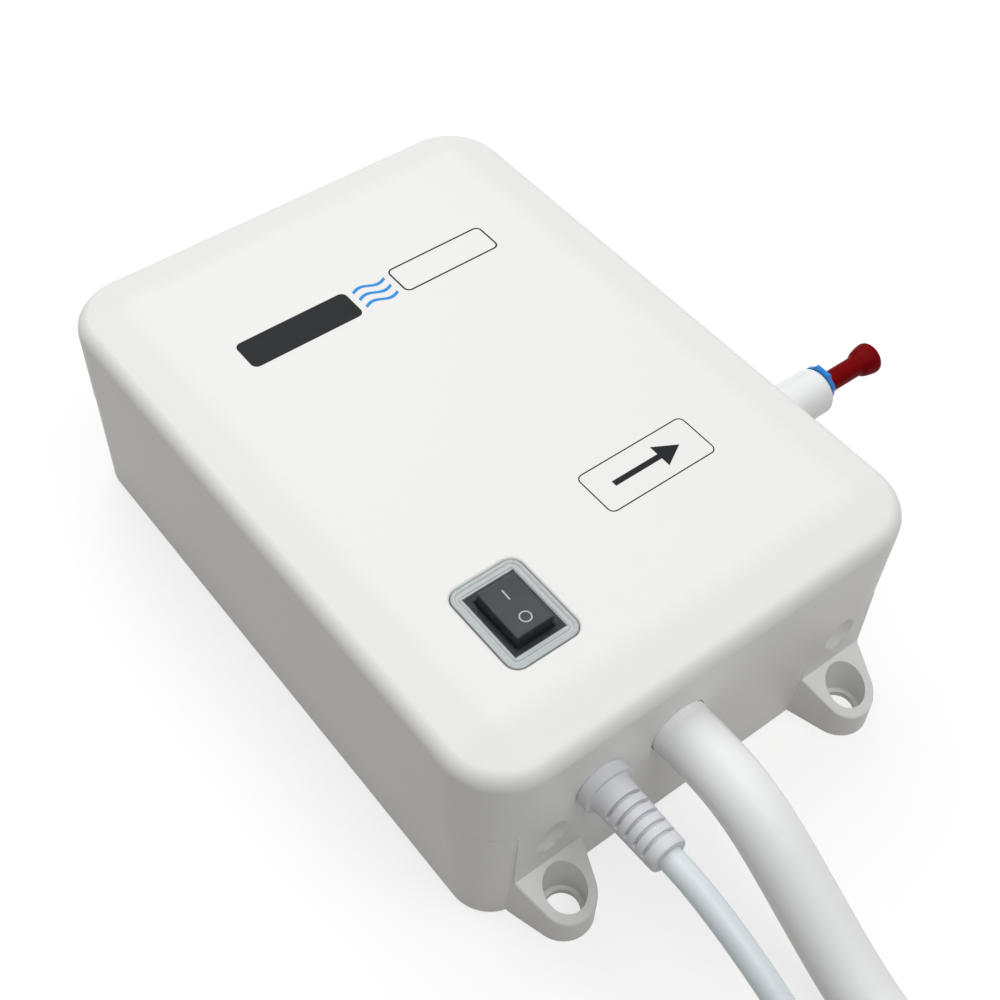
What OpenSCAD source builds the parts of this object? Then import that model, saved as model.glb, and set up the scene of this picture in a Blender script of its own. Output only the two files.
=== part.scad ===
// Bottled water pump: a mains diaphragm pump in a two-part plastic housing.
// Frame: +X to the right, +Y to the back, +Z up, origin at the centre of the base's underside.

/* [Housing] */
// Width of the cover across its side walls
body_w = 148; // [144:1:170]
// Length of the cover from its front wall to its back wall
body_l = 204; // [200:1:230]
// Height of the flat top above the mounting surface
body_h = 72; // [71:0.5:84]
// Radius of the upright corners seen from above
corner_r = 18; // [18:0.5:21]
// Height of the seam between base and cover
seam_z = 40; // [37:0.5:42]
// Wall thickness of the cover
wall = 2.5; // [2:0.1:3]
// Thickness of the floor of the base
floor_t = 3; // [2.5:0.1:4]
// Width of the sloping border round the flat top
bevel_w = 15; // [10:0.5:15]
// Fall of the sloping border from the flat top to the edge
bevel_drop = 4; // [2:0.5:5]
// Rounding between the sloping border and the walls
edge_r = 5; // [4:0.5:6]
// Rounding between the sloping border and the flat top
crest_r = 20; // [8:1:22]
// Step by which the base stands back below the seam
base_step = 0.8; // [0.4:0.1:1.2]
// Draft of the base from the seam down to its underside
base_draft = 2; // [1:0.1:3]
// Height of the tongue that locates the cover on the base
tongue_h = 3; // [2:0.5:4]
// Thickness of the tongue
tongue_t = 1.1; // [1:0.1:1.5]
// Clearance between the tongue and the cover
tongue_gap = 0.2; // [0.1:0.05:0.3]
// Radius of the screw columns in the corners
column_r = 4.5; // [4:0.1:5]
// Distance of the screw columns from the outer walls
column_inset = 13; // [12.5:0.5:15]

/* [Mounting ears] */
// Distance between ear holes across the body
ear_pitch = 102; // [90:1:104]
// Distance of an ear hole from the foot of the end wall
ear_reach = 8.3; // [8:0.1:11]
// Radius of the round tip of an ear
ear_tip_r = 8.6; // [8.2:0.1:10]
// Width of an ear at its root
ear_root_w = 23; // [20:0.5:26]
// Height of an ear at its root
ear_root_h = 17.6; // [16:0.1:19]
// Slope of the top of an ear in degrees
ear_slope = 28.5; // [20:0.5:31]
// Radius of the screw hole of an ear
ear_hole_r = 4.8; // [3:0.1:5]
// Radius of the recess for the screw head
ear_recess_r = 6; // [5.5:0.1:6.5]
// Thickness of the ledge under the screw head
ear_ledge = 2; // [1.5:0.1:3]
// Height of the middle of the screwdriver scoop above an ear
scoop_z = 29; // [27:0.5:30]
// Depth of the screwdriver scoop
scoop_depth = 1.5; // [0.5:0.1:1.6]

/* [Ports] */
// Height of the port axes above the seam
port_rise = 5; // [4:0.5:6]
// Place of the suction hose across the front wall
hose_x = -12; // [-14:0.5:-10]
// Outer radius of the suction hose
hose_r = 8.5; // [8:0.1:8.5]
// Bore radius of the suction hose
hose_bore_r = 6; // [5:0.1:6.5]
// Place of the mains cord across the front wall
gland_x = -38; // [-40:0.5:-36]
// Radius of the mains cord
cord_r = 3.5; // [3:0.1:4]
// Radius of the neck of the strain relief in the wall
gland_neck_r = 5.6; // [5:0.1:6]
// Radius of the collar of the strain relief
gland_collar_r = 7.6; // [7:0.1:8.5]
// Thickness of the collar of the strain relief
gland_collar_t = 3.3; // [3:0.1:5]
// Radius of the ribbed sleeve next to the collar
gland_sleeve_r = 5.9; // [5.5:0.1:6.5]
// Radius of the ribbed sleeve at its end
gland_tip_r = 5.4; // [5:0.1:5.8]
// Length of the strain relief in front of the wall
gland_len = 25; // [22:1:28]
// Distance of the outlet from the front wall
outlet_setback = 62; // [60:0.5:66]
// Clearance between a port neck and its slot
port_gap = 0.2; // [0.1:0.05:0.3]

/* [Switch] */
// Distance of the middle of the switch from the left wall
switch_inset = 37.6; // [36:0.2:40]
// Distance of the middle of the switch from the front wall
switch_setback = 38; // [36:0.5:40]
// Width of the switch bezel
bezel_w = 15.8; // [15.4:0.1:16.2]
// Length of the switch bezel
bezel_l = 21; // [20:0.1:21.2]
// Thickness of the switch bezel
bezel_t = 1.6; // [1.4:0.1:2]
// Depth of the switch body below its bezel
switch_depth = 14; // [13:0.5:18]
// Width of the rocker
rocker_w = 11.4; // [10.6:0.1:11.6]
// Length of the rocker
rocker_l = 15.2; // [14.5:0.1:15.4]
// Height of the rocker above the bezel
rocker_rise = 3.1; // [2.8:0.1:3.6]
// Radius of the pivot pins of the rocker
pivot_r = 1.2; // [1:0.1:1.5]
// Width of the frame of the boot
boot_w = 21.6; // [21:0.1:23]
// Length of the frame of the boot
boot_l = 27.6; // [27:0.1:29]
// Corner radius of the frame of the boot
boot_r = 3.4; // [2.5:0.1:4]
// Thickness of the skin of the boot
boot_skin = 0.5; // [0.4:0.1:0.6]
// Depth of the recess for the boot in the top
boot_recess = 2.3; // [2:0.1:2.6]

/* [Outlet] */
// Radius of the barrel of the outlet fitting
barrel_r = 7.4; // [6.8:0.1:7.6]
// Length of the outlet fitting in front of the wall
barrel_len = 27; // [25:0.5:30]
// Radius of the thread of the outlet fitting
thread_r = 6.2; // [6:0.1:6.5]
// Radius of the tube that the outlet takes
tube_r = 3.175; // [3:0.005:3.2]
// Thickness of the locking clip
clip_t = 2; // [1.6:0.1:2.4]
// Length of the plug in front of the collet
plug_len = 18.2; // [15:0.1:20]
// Radius of the head of the plug
plug_head_r = 4.9; // [4.5:0.1:5.5]
// Thickness of the nut of the outlet fitting
nut_t = 6; // [5:0.5:7]

/* [Pump] */
// Place of the pump axis across the base
pump_x = 8; // [6:0.5:10]
// Room between the pump and the cover above it
roof_gap = 3.4; // [3:0.1:5]
// Room between the pump and the floor below it
floor_gap = 3.1; // [3:0.1:4]
// Corner radius of the pump section
pump_r = 11; // [9:0.5:12]
// Thickness of the pump head
head_t = 26; // [25:1:28]
// Distance of the outlet port from the front of the head
head_port = 18; // [17:0.5:19]
// Thickness of the valve plate
valve_t = 6; // [5:0.5:7]
// Thickness of the diaphragm
diaphragm_t = 2; // [1.5:0.1:2.5]
// Length of the drive housing
drive_l = 28; // [28:0.5:30]
// Wall of the drive housing round its chamber
drive_side = 4; // [3:0.5:5]
// Distance of the head screws from the sides of the pump section
head_screw_inset = 8; // [7:0.5:8.5]
// Radius of the head screws
head_screw_r = 2; // [1.5:0.1:2]
// Radius of the pistons
piston_r = 4.3; // [3.8:0.1:4.5]
// Tilt of the wobble plate in degrees
wobble_tilt = 4; // [2:0.5:4]

/* [Motor] */
// Step from the sides of the pump section in to the motor can
motor_step = 3; // [2.5:0.5:5]
// Room behind the motor
motor_room = 14; // [12:1:20]
// Wall of the motor can
can_t = 2; // [1.5:0.1:2.5]
// Radius of the motor shaft
shaft_r = 4; // [3:0.1:4]
// Radial clearance of the shaft in its bushes
run_gap = 0.05; // [0.02:0.01:0.08]
// Thickness of the magnets
magnet_t = 3.4; // [3:0.1:3.6]
// Gap between the armature and the magnets
air_gap = 1.1; // [0.5:0.1:2]
// Radius of the commutator
commutator_r = 9; // [8:0.1:10]
// Thickness of the end cap
end_cap_t = 6; // [5:0.5:7]
// Thickness of the pump foot
foot_t = 2; // [1.5:0.1:2.5]
// Width of the pump foot
foot_w = 66; // [64:1:70]
// Radius of the rubber grommets
grommet_r = 6; // [5:0.1:6.5]
// Thickness of one grommet flange
grommet_t = 2; // [1.5:0.1:2.5]

/* [Control board] */
// Distance of the control board from the front wall
board_setback = 94; // [92:1:100]
// Height of the control board above the floor
board_rise = 6; // [5:0.5:8]
// Thickness of the control board
board_t = 1.6; // [1.2:0.1:2]

/* [Hidden] */
$fn = 64;

// Colours of the plastics, rubbers and metals
HOUSING = [0.93, 0.93, 0.91];
SLEEVE = [0.85, 0.87, 0.9];
STEEL = [0.7, 0.71, 0.73];
BLACK = [0.09, 0.09, 0.1];
WHITE = [0.95, 0.96, 0.96];
BRASS = [0.78, 0.65, 0.36];
GREY = [0.35, 0.36, 0.38];
CORD = [0.88, 0.91, 0.94];
BLUE = [0.1, 0.45, 0.85];

eps = 0.01;
cut = 1;
half_w = body_w / 2;
half_l = body_l / 2;
front_y = -half_l;
outlet_y = front_y + outlet_setback;
switch_x = switch_inset - half_w;
switch_y = front_y + switch_setback;
port_z = seam_z + port_rise;

// Outset of the tongue from the centre line of the corner rounds
tongue_out = corner_r - wall - tongue_gap;
tongue_in = tongue_out - tongue_t;
foot_out = corner_r - base_step - base_draft;
column_x = half_w - column_inset;
column_y = half_l - column_inset;
screw_head_r = 3.2;
screw_head_t = 2.5;
screw_r = 1.7;
screw_hole_r = screw_r + 0.05;
floor_skin = 1;
screw_head_z = 26;
screw_bite = 14;

// Border of the cover
bevel_angle = atan(bevel_drop / bevel_w);
arc_steps = 6;
crest_steps = 4;

ear_x = ear_pitch / 2;
ear_y = half_l - base_step - base_draft + ear_reach;
ear_half = ear_root_w / 2;
ear_turn = atan2(ear_reach, ear_half) - acos(ear_tip_r / norm([ear_half, ear_reach]));
pad_y = half_l - base_step - 0.8;
pad_depth = base_draft + 1.5;
pad_half = (ear_tip_r - (ear_y - pad_y) * sin(ear_turn)) / cos(ear_turn);
scoop_r = ear_y - pad_y + scoop_depth;
scoop_round = 14;

hose_out = 2;
tab_h = port_rise / 2;

nut_r = 10.5;

// Rows of x, y, slot radius, radius of the room behind the wall, and the turn that takes -Y to the outside
PORTS = [[hose_x, front_y, hose_r + port_gap, hose_r + port_gap, 0],
  [gland_x, front_y, gland_neck_r + port_gap, gland_collar_r + port_gap, 0],
  [half_w, outlet_y, thread_r + port_gap, nut_r + port_gap, 90]];

// Levels of the pump along Y, from the head back to the end cap
y_head = outlet_y - head_port;
y_valve = y_head + head_t;
y_diaphragm = y_valve + valve_t;
y_drive = y_diaphragm + diaphragm_t;
y_motor = y_drive + drive_l;
y_cap = half_l - motor_room - end_cap_t;
pump_w = body_h - wall - roof_gap - floor_gap - floor_t;
pump_z = floor_t + floor_gap + pump_w / 2;
motor_r = pump_w / 2 - motor_step;
motor_l = y_cap - y_motor;
drive_bore_r = pump_w / 2 - drive_side;
head_screw = pump_w / 2 - head_screw_inset;
foot_fit = 0.1;
foot_z = pump_z - motor_r - foot_fit - foot_t;
grommet_post = foot_z - grommet_t - floor_t;
drive_wall = 4;
bush_r = shaft_r + 3;
bush_l = drive_wall;
plate_t = 5;
plate_rim = 1;
bearing_w = 7;
journal_r = 7;
bearing_r = 12;
wobble_setback = 12;
y_wobble = y_drive + wobble_setback;
piston_clear = 0.4;
piston_pitch = bearing_r + piston_r + 0.1;
piston_edge = piston_pitch + piston_r;
piston_top = y_drive + piston_clear + piston_edge * tan(wobble_tilt);
hub_collar_r = 9;
hub_step = 5;
hub_gap = 1.5;
journal_front = 6;
coil_room = 14;
coil_step = 2;
commutator_l = 10;
brush_room = 8;
armature_r = motor_r - can_t - magnet_t - air_gap;
armature_l = motor_l - coil_room - coil_step - commutator_l - brush_room;
magnet_y = y_motor + coil_room - coil_step;
armature_y = y_motor + coil_room;
commutator_y = armature_y + armature_l + coil_step;
shaft_front = y_wobble - journal_r;
shaft_end = y_cap + shaft_r / 2;
foot_inset = 4;
foot_y0 = y_motor + foot_inset;
foot_y1 = y_cap - foot_inset;
grommet_x = foot_w / 2 - grommet_r - 0.5;
grommet_neck_r = grommet_r - 2.5;
grommet_inset = 8;
GROMMETS = [for (sx = [-1, 1], y = [foot_y0 + grommet_inset, foot_y1 - grommet_inset])
  [pump_x + sx * grommet_x, y]];
barb_len = 18;
barb_gap = 0.05;
chamber_r = 12.6;
annulus_in = 14;
head_wall = 6;
annulus_out = pump_w / 2 - head_wall;
chamber_d = 8;
recess_d = 2.5;
cell_r = piston_r + 2.1;
stem_r = 1.2;
flap_r = 4.2;
flap_t = 0.8;
dome_r = 12.2;
outlet_pitch = 11.2;

board_inset = 8;
board_gap = 4.5;
board_clear = 1;
board_x = board_inset - half_w;
board_w = pump_x - foot_w / 2 - board_clear - board_x;
board_y = front_y + board_setback;
board_l = column_y - column_r - board_gap - board_y;
board_z = floor_t + board_rise;
board_edge = 4;
board_post_r = 3.5;
BOARD_HOLES = [for (x = [board_edge, board_w - board_edge], y = [board_edge, board_l - board_edge])
  [board_x + x, board_y + y]];

// Levels of the switch
recess_z = body_h - boot_recess;
recess_floor = 1.6;
recess_rim = 2;
boot_gap = 0.4;
bezel_z = recess_z + bezel_t;
membrane_z = bezel_z + 0.2;
rocker_z = bezel_z + rocker_rise;
pivot_z = recess_z - 0.4;
rocker_tilt = 2;
rocker_down = 4.5;
dish_depth = 0.3;
dish_r = rocker_l * rocker_l / (8 * dish_depth);
rocker_room = 0.3;
swing_room = 1.3;
body_inset = 1.1;
tag_pitch = 10;
pin_end = bezel_w / 2 - body_inset - 0.2;
dome_w = rocker_w + 2 * rocker_room + 2 * boot_skin;
dome_l = rocker_l + 2 * rocker_room + 0.3 + 2 * boot_skin;
dome_z = rocker_z + 0.6 + boot_skin;

// Levels of the outlet in front of the wall
throat_r = 2;
thread_end = 1;
shoulder_r = 8.5;
shoulder_t = 3;
lip = 1;
socket_z = barrel_len - 19;
seal_z = socket_z + 6;
seal_r = 5.6;
collet_z = seal_z + 3.5;
collet_gap = 0.2;
tube_gap = 0.3;
stub_len = 10;
neck_r = 4.2;
sleeve_r = 4.4;
clip_gap = 0.3;
clip_half = 5.7;
tab_rise = 1.2;
tab_w = 8;
clip_z = barrel_len + 0.1;
flange_z = clip_z + clip_t + 0.1;
flange_t = 1.6;
flange_r = 5;
head_end = flange_z + flange_t + plug_len;
stem_end = head_end - 6.7;
tail_len = 12;
tail_r = 3.1;
outlet_tube_bore = 3.2;
outlet_tube_r = 4.75;

// Cord and hose: coils on the surface in front of the body, and the stretches between
tie_t = 0.8;
tie_gap = 0.2;
tie_w = 8;
MAINS = [["centre", [-86, -225]], ["start", -20], ["turn", -1], ["r", 41], ["pitch", 7.8], ["turns", 1.5],
  ["layers", 4], ["rise", 7.6], ["z", cord_r + 1], ["d", 2 * cord_r]];
HOSE = [["centre", [24, -346]], ["start", 144], ["turn", 1], ["r", 93], ["pitch", 18], ["turns", 1.05],
  ["layers", 2], ["rise", 17.6], ["z", hose_r + 1], ["d", 2 * hose_r]];
coil_steps = 24;
coil_sides = 6;
cord_sides = 10;
FORWARD = [0, -1, 0];

// The mains cord from its strain relief down to the surface and into its coil
MAINS_ROUTE = [[-38, -127, 45], [-38, -135, 44.8], [-38, -145, 43], [-38, -155, 40], [-38, -165, 36],
  [-38, -175, 31], [-38, -185, 25], [-38, -195, 18.5], [-38, -205, 12.5], [-39, -214, 8], [-41, -223, 5.2]];
// The mains cord from the top of its coil down to the surface and into its plug
MAINS_TAIL = [[-53, -254, 26], [-57, -264, 22], [-62, -273, 16.5], [-68, -282, 11], [-75, -290, 7],
  [-83, -297, 5], [-91, -304, 5.5], [-98, -312, 8], [-103, -321, 12], [-106, -331, 15.8], [-107, -341, 18],
  [-107, -350, 18.5]];
// The hose from the front wall down to the surface and into its coil
HOSE_ROUTE = [[-12, -104, 45], [-12, -112, 45], [-12, -120, 44.5], [-12, -128, 42.4], [-12, -136, 38.6],
  [-12, -144, 33.6], [-12, -152, 28.3], [-12, -160, 23], [-12, -168, 18.2], [-12, -176, 14.2],
  [-12, -185, 11.2], [-12, -195, 9.8], [-13.5, -215, 9.5], [-18.5, -236, 9.5], [-27, -255, 9.5],
  [-33.5, -266, 9.5]];
// The hose from the top of its coil down to its intake
HOSE_TAIL = [[-69, -376, 26], [-69, -388, 22.8], [-69, -400, 17.5], [-69, -412, 12.6], [-69, -424, 10],
  [-69, -434, 9.5]];
plug_r = 18;
plug_body = 42;
plug_neck_r = 5;
plug_neck = 8;
plug_grip_r = 11;
plug_grip = 16;
plug_face = 30;
pin_r = 2.4;
pin_len = 19;
pin_pitch = 19;
intake_len = 36;
intake_rim_r = hose_r + 0.8;
intake_rim = 8;
intake_nose = 4;
intake_wall = 1.8;
intake_slot_z = 12;
intake_slot_l = 20;
intake_slot_w = 1.6;

function get(rows, name) = [for (row = rows) if (row[0] == name) row[1]][0];
function unit(v) = v / norm(v);

// A coil spirals in and out by turns, one layer each way, and climbs in the half turn round each reversal
function coil_radius(c, t) =
  let (n = get(c, "turns"), k = floor(t / n), s = t - k * n, run = k % 2 == 0 ? s : n - s)
  get(c, "r") - get(c, "pitch") * run;
function coil_climb(t, n) = min(max((t - n) / 0.5 + 0.5, 0), 1);
function coil_level(c, t) =
  let (n = get(c, "turns"), steps = [for (k = [1 : get(c, "layers") - 1]) coil_climb(t, k * n)])
  get(c, "z") + get(c, "rise") * steps * [for (s = steps) 1];
function coil_point(c, t) =
  let (a = get(c, "start") + get(c, "turn") * 360 * t, r = coil_radius(c, t), o = get(c, "centre"))
  [o[0] + r * cos(a), o[1] + r * sin(a), coil_level(c, t)];
function coil_heading(c, t) =
  let (a = get(c, "start") + get(c, "turn") * 360 * t) get(c, "turn") * [-sin(a), cos(a), 0];
function coil_end(c) = get(c, "turns") * get(c, "layers");
function coil_entry(c) = coil_point(c, 0) - get(c, "d") * coil_heading(c, 0);
function coil_exit(c) = coil_point(c, coil_end(c)) + get(c, "d") * coil_heading(c, coil_end(c));
function coil_path(c) =
  let (count = ceil(coil_end(c) * coil_steps))
  concat([coil_entry(c)], [for (i = [0 : count]) coil_point(c, coil_end(c) * i / count)], [coil_exit(c)]);

// Least distance between turns that are half a turn or more apart, less the tube itself
function coil_gap(c) =
  let (p = coil_path(c), n = len(p), far = coil_steps / 2)
  min([for (i = [0 : n - 1], j = [i + far : n - 1]) if (j < n) norm(p[i] - p[j])]) - get(c, "d");

function path_length(p) = len(p) < 2 ? 0 : [for (i = [1 : len(p) - 1]) norm(p[i] - p[i - 1])]
  * [for (i = [1 : len(p) - 1]) 1];

mains_path = concat(MAINS_ROUTE, [coil_entry(MAINS)]);
mains_tail_path = concat([coil_exit(MAINS)], MAINS_TAIL);
hose_path = concat(HOSE_ROUTE, [coil_entry(HOSE)]);
hose_tail_path = concat([coil_exit(HOSE)], HOSE_TAIL);
echo(mains_coil_gap = coil_gap(MAINS), hose_coil_gap = coil_gap(HOSE));
echo(mains_length = path_length(mains_path) + path_length(coil_path(MAINS)) + path_length(mains_tail_path));
echo(hose_length = path_length(hose_path) + path_length(coil_path(HOSE)) + path_length(hose_tail_path));

// Small solids

module rod_x(x0, x1, y, z, r) translate([x0, y, z]) rotate([0, 90, 0]) cylinder(h = x1 - x0, r = r);

module rod_y(x, z, y0, y1, r) translate([x, y0, z]) rotate([-90, 0, 0]) cylinder(h = y1 - y0, r = r);

module box(x0, x1, y0, y1, z0, z1) translate([x0, y0, z0]) cube([x1 - x0, y1 - y0, z1 - z0]);

module rounded_rect(w, l, r) {
  square([w - 2 * r, l], center = true);
  square([w, l - 2 * r], center = true);
  for (sx = [-1, 1], sy = [-1, 1]) translate([sx * (w / 2 - r), sy * (l / 2 - r)]) circle(r);
}

// A block whose half section, outset against height, runs round a rounded rectangle
module swept_block(section) {
  low = min([for (p = section) p[1]]);
  high = max([for (p = section) p[1]]);
  sx = body_w - 2 * corner_r;
  sy = body_l - 2 * corner_r;
  translate([-sx / 2, -sy / 2, low]) cube([sx, sy, high - low]);
  for (k = [0 : 3]) {
    reach = k % 2 == 0 ? [sx, sy] / 2 : [sy, sx] / 2;
    rotate(90 * k) translate([reach[0], reach[1], 0]) {
      rotate_extrude(angle = 90) polygon(section);
      rotate([90, 0, 0]) linear_extrude(2 * reach[1]) polygon(section);
    }
  }
}

// A tube of one radius along the points of a path, closed by a flat face square to its heading at each end
module swept_tube(path, r, sides, start, finish) {
  n = len(path);
  headings = [start, for (i = [1 : n - 2]) unit(path[i + 1] - path[i - 1]), finish];
  rings = [for (i = [0 : n - 1])
    let (t = headings[i], u = unit(cross(t, [0, 0, 1])), v = cross(u, t))
    [for (k = [0 : sides - 1]) path[i] + r * (u * cos(360 * k / sides) + v * sin(360 * k / sides))]];
  points = [for (ring = rings) each ring];
  skin = [for (i = [0 : n - 2], k = [0 : sides - 1])
    let (a = i * sides + k, b = i * sides + (k + 1) % sides)
    each [[a, b, a + sides], [b, b + sides, a + sides]]];
  last = (n - 1) * sides;
  caps = [for (k = [1 : sides - 2]) each [[0, k + 1, k], [last, last + k, last + k + 1]]];
  polyhedron(points, concat(skin, caps));
}

module swept_coil(c)
  swept_tube(coil_path(c), get(c, "d") / 2, coil_sides, coil_heading(c, 0), coil_heading(c, coil_end(c)));

module screw_z(z, head_r, head_t, r, len) translate([0, 0, z]) {
  cylinder(h = head_t, r = head_r);
  translate([0, 0, head_t - eps]) cylinder(h = len, r = r);
}

// Housing

base_section = [[0, 0], [foot_out, 0], [corner_r - base_step, seam_z], [tongue_out, seam_z],
  [tongue_out, seam_z + tongue_h], [0, seam_z + tongue_h]];
base_hollow = [[0, floor_t], [tongue_in - base_draft, floor_t], [tongue_in, seam_z],
  [tongue_in, seam_z + tongue_h + cut], [0, seam_z + tongue_h + cut]];

// Points of an arc from angle a to angle b
function arc(centre, r, a, b, steps) =
  [for (i = [0 : steps]) let (t = a + (b - a) * i / steps) centre + r * [cos(t), sin(t)]];

// Half section of the top: wall, rounded edge, sloping border and flat, moved in by an offset
function cover_section(inset, low) =
  let (edge_z = body_h - bevel_drop + edge_r * tan(bevel_angle) - edge_r / cos(bevel_angle),
    crest_x = corner_r - bevel_w - crest_r * tan(bevel_angle / 2))
  concat([[0, low], [corner_r - inset, low]],
    arc([corner_r - edge_r, edge_z], edge_r - inset, 0, 90 - bevel_angle, arc_steps),
    arc([crest_x, body_h - crest_r], crest_r - inset, 90 - bevel_angle, 90, crest_steps),
    [[0, body_h - inset]]);

module ear_plan() {
  root = ear_reach + base_draft;
  t = ear_tip_r * [cos(ear_turn), sin(ear_turn)];
  circle(ear_tip_r);
  polygon([[ear_half, root], [ear_half, ear_reach], t, [-t[0], t[1]], [-ear_half, ear_reach],
    [-ear_half, root]]);
}

// An ear about its own hole, with the wall towards +Y
module ear() {
  difference() {
    linear_extrude(ear_root_h) ear_plan();
    translate([-ear_root_w, ear_reach, ear_root_h]) rotate([ear_slope, 0, 0]) mirror([0, 1, 0])
      cube([2 * ear_root_w, 3 * ear_root_w, ear_root_h]);
  }
}

module ear_drill() {
  translate([0, 0, -cut]) cylinder(h = ear_ledge + 2 * cut, r = ear_hole_r);
  translate([0, 0, ear_ledge]) cylinder(h = ear_root_h, r = ear_recess_r);
  translate([0, 0, scoop_z]) rotate_extrude() intersection() {
    translate([scoop_r - scoop_round, 0]) circle(scoop_round);
    translate([0, -scoop_round]) square(2 * scoop_round);
  }
}

module at_ears() for (sx = [-1, 1], turn = [0, 180])
  rotate(turn) translate([sx * ear_x, -ear_y, 0]) children();

module at_columns() for (sx = [-1, 1], sy = [-1, 1]) translate([sx * column_x, sy * column_y, 0]) children();

module at_ports() for (p = PORTS) translate([p[0], p[1], port_z]) rotate(p[4]) {
  $slot_r = p[2];
  $room_r = p[3];
  children();
}

port_reach = 10;

module port_bore() rod_y(0, 0, -port_reach, port_reach, $slot_r);

module port_slot() {
  port_bore();
  box(-$slot_r, $slot_r, -port_reach, port_reach, -port_rise - cut, 0);
}

// Tab of the base that closes the slot of the cover under a port
module port_saddle()
  box(-$slot_r + port_gap, $slot_r - port_gap, base_step, wall, -port_rise - cut, tab_h - port_rise);

module base_tray() color(HOUSING) difference() {
  union() {
    difference() {
      swept_block(base_section);
      swept_block(base_hollow);
    }
    at_ears() ear();
    at_ears() box(-pad_half, pad_half, ear_y - pad_y, ear_y - pad_y + pad_depth, 0, seam_z);
    at_columns() cylinder(h = seam_z, r = column_r);
    for (p = GROMMETS) translate([p[0], p[1], floor_t - eps]) cylinder(h = grommet_post + eps, r = grommet_r);
    for (p = BOARD_HOLES) translate([p[0], p[1], floor_t - eps])
      cylinder(h = board_rise + eps, r = board_post_r);
    at_ports() port_saddle();
  }
  at_ears() ear_drill();
  at_columns() {
    translate([0, 0, -cut]) cylinder(h = screw_head_z + screw_head_t + cut, r = screw_head_r + 0.3);
    cylinder(h = seam_z + cut, r = screw_hole_r);
  }
  for (p = GROMMETS) translate([p[0], p[1], floor_skin]) cylinder(h = floor_t + grommet_post, r = screw_r);
  for (p = BOARD_HOLES) translate([p[0], p[1], floor_skin]) cylinder(h = board_z, r = screw_r);
  at_ports() {
    port_bore();
    rod_y(0, 0, wall, port_reach, $room_r);
  }
}

module top_cover() color(HOUSING) difference() {
  union() {
    difference() {
      swept_block(cover_section(0, seam_z));
      swept_block(cover_section(wall, seam_z - cut));
    }
    intersection() {
      at_columns() translate([0, 0, seam_z]) cylinder(h = body_h - seam_z, r = column_r);
      swept_block(cover_section(0, seam_z));
    }
    translate([switch_x, switch_y, recess_z - recess_floor])
      linear_extrude(body_h - wall - recess_z + recess_floor + eps)
      rounded_rect(boot_w + 2 * recess_rim, boot_l + 2 * recess_rim, boot_r + recess_rim);
  }
  at_ports() port_slot();
  at_columns() translate([0, 0, seam_z - cut]) cylinder(h = screw_bite + cut, r = screw_r);
  translate([switch_x, switch_y, recess_z]) linear_extrude(body_h)
    rounded_rect(boot_w + 2 * boot_gap, boot_l + 2 * boot_gap, boot_r + boot_gap);
  translate([switch_x, switch_y, recess_z]) linear_extrude(4 * wall, center = true)
    square([bezel_w - 2 * body_inset + 0.2, bezel_l - 2 * body_inset + 0.2], center = true);
}

module cover_screws() color(STEEL) at_columns()
  screw_z(screw_head_z, screw_head_r, screw_head_t, screw_r, seam_z + screw_bite - screw_head_z - screw_head_t);

// Switch

module switch_body() color(BLACK) translate([switch_x, switch_y, 0]) difference() {
  union() {
    translate([0, 0, recess_z]) linear_extrude(bezel_t) rounded_rect(bezel_w, bezel_l, 1);
    translate([0, 0, recess_z - switch_depth]) linear_extrude(switch_depth + eps)
      square([bezel_w - 2 * body_inset, bezel_l - 2 * body_inset], center = true);
    for (y = [-0.5, 0.5] * tag_pitch)
      translate([-blade_w / 2, y - blade_t / 2, recess_z - switch_depth - blade_l])
      cube([blade_w, blade_t, blade_l + eps]);
  }
  translate([-rocker_w / 2 - rocker_room, -rocker_l / 2 - swing_room, pivot_z - rocker_down - 2])
    cube([rocker_w + 2 * rocker_room, rocker_l + 2 * swing_room, body_h]);
  rod_x(body_inset - bezel_w / 2 - eps, bezel_w / 2 - body_inset + eps, 0, pivot_z, pivot_r + run_gap);
}

module switch_rocker() color(BLACK) translate([switch_x, switch_y, pivot_z]) {
  difference() {
    rotate([rocker_tilt, 0, 0]) translate([-rocker_w / 2, -rocker_l / 2, -rocker_down])
      cube([rocker_w, rocker_l, rocker_z - pivot_z + rocker_down]);
    rotate([rocker_tilt, 0, 0])
      rod_x(-rocker_w, rocker_w, 0, rocker_z - pivot_z + dish_r - dish_depth, dish_r);
  }
  rod_x(-pin_end, pin_end, 0, 0, pivot_r);
}

module switch_boot() color([0.8, 0.83, 0.84, 0.5]) translate([switch_x, switch_y, 0]) difference() {
  union() {
    translate([0, 0, recess_z]) linear_extrude(membrane_z + boot_skin - recess_z)
      rounded_rect(boot_w, boot_l, boot_r);
    translate([0, 0, membrane_z]) linear_extrude(dome_z - membrane_z) rounded_rect(dome_w, dome_l, 1.2);
  }
  translate([0, 0, recess_z - cut]) linear_extrude(membrane_z - recess_z + cut)
    rounded_rect(bezel_w + 0.4, bezel_l + 0.4, 1.2);
  translate([0, 0, recess_z]) linear_extrude(dome_z - boot_skin - recess_z)
    rounded_rect(dome_w - 2 * boot_skin, dome_l - 2 * boot_skin, 0.7);
}

// Mains lead

gland_lock_t = 2.3;
slot_arc = 155;
slot_middle = 97;
slot_t = 0.8;
slot_depth = 1.5;
slot_pitch = 3.1;
slot_first = gland_collar_t + 5;
slot_rows = 5;

module sleeve_slot(z) for (turn = [0, 180]) rotate(slot_middle + turn - slot_arc / 2) translate([0, 0, z])
  rotate_extrude(angle = slot_arc) translate([gland_sleeve_r - slot_depth, 0])
    square([2 * slot_depth, slot_t]);

module at_gland() translate([gland_x, front_y, port_z]) rotate([90, 0, 0]) children();

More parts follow.
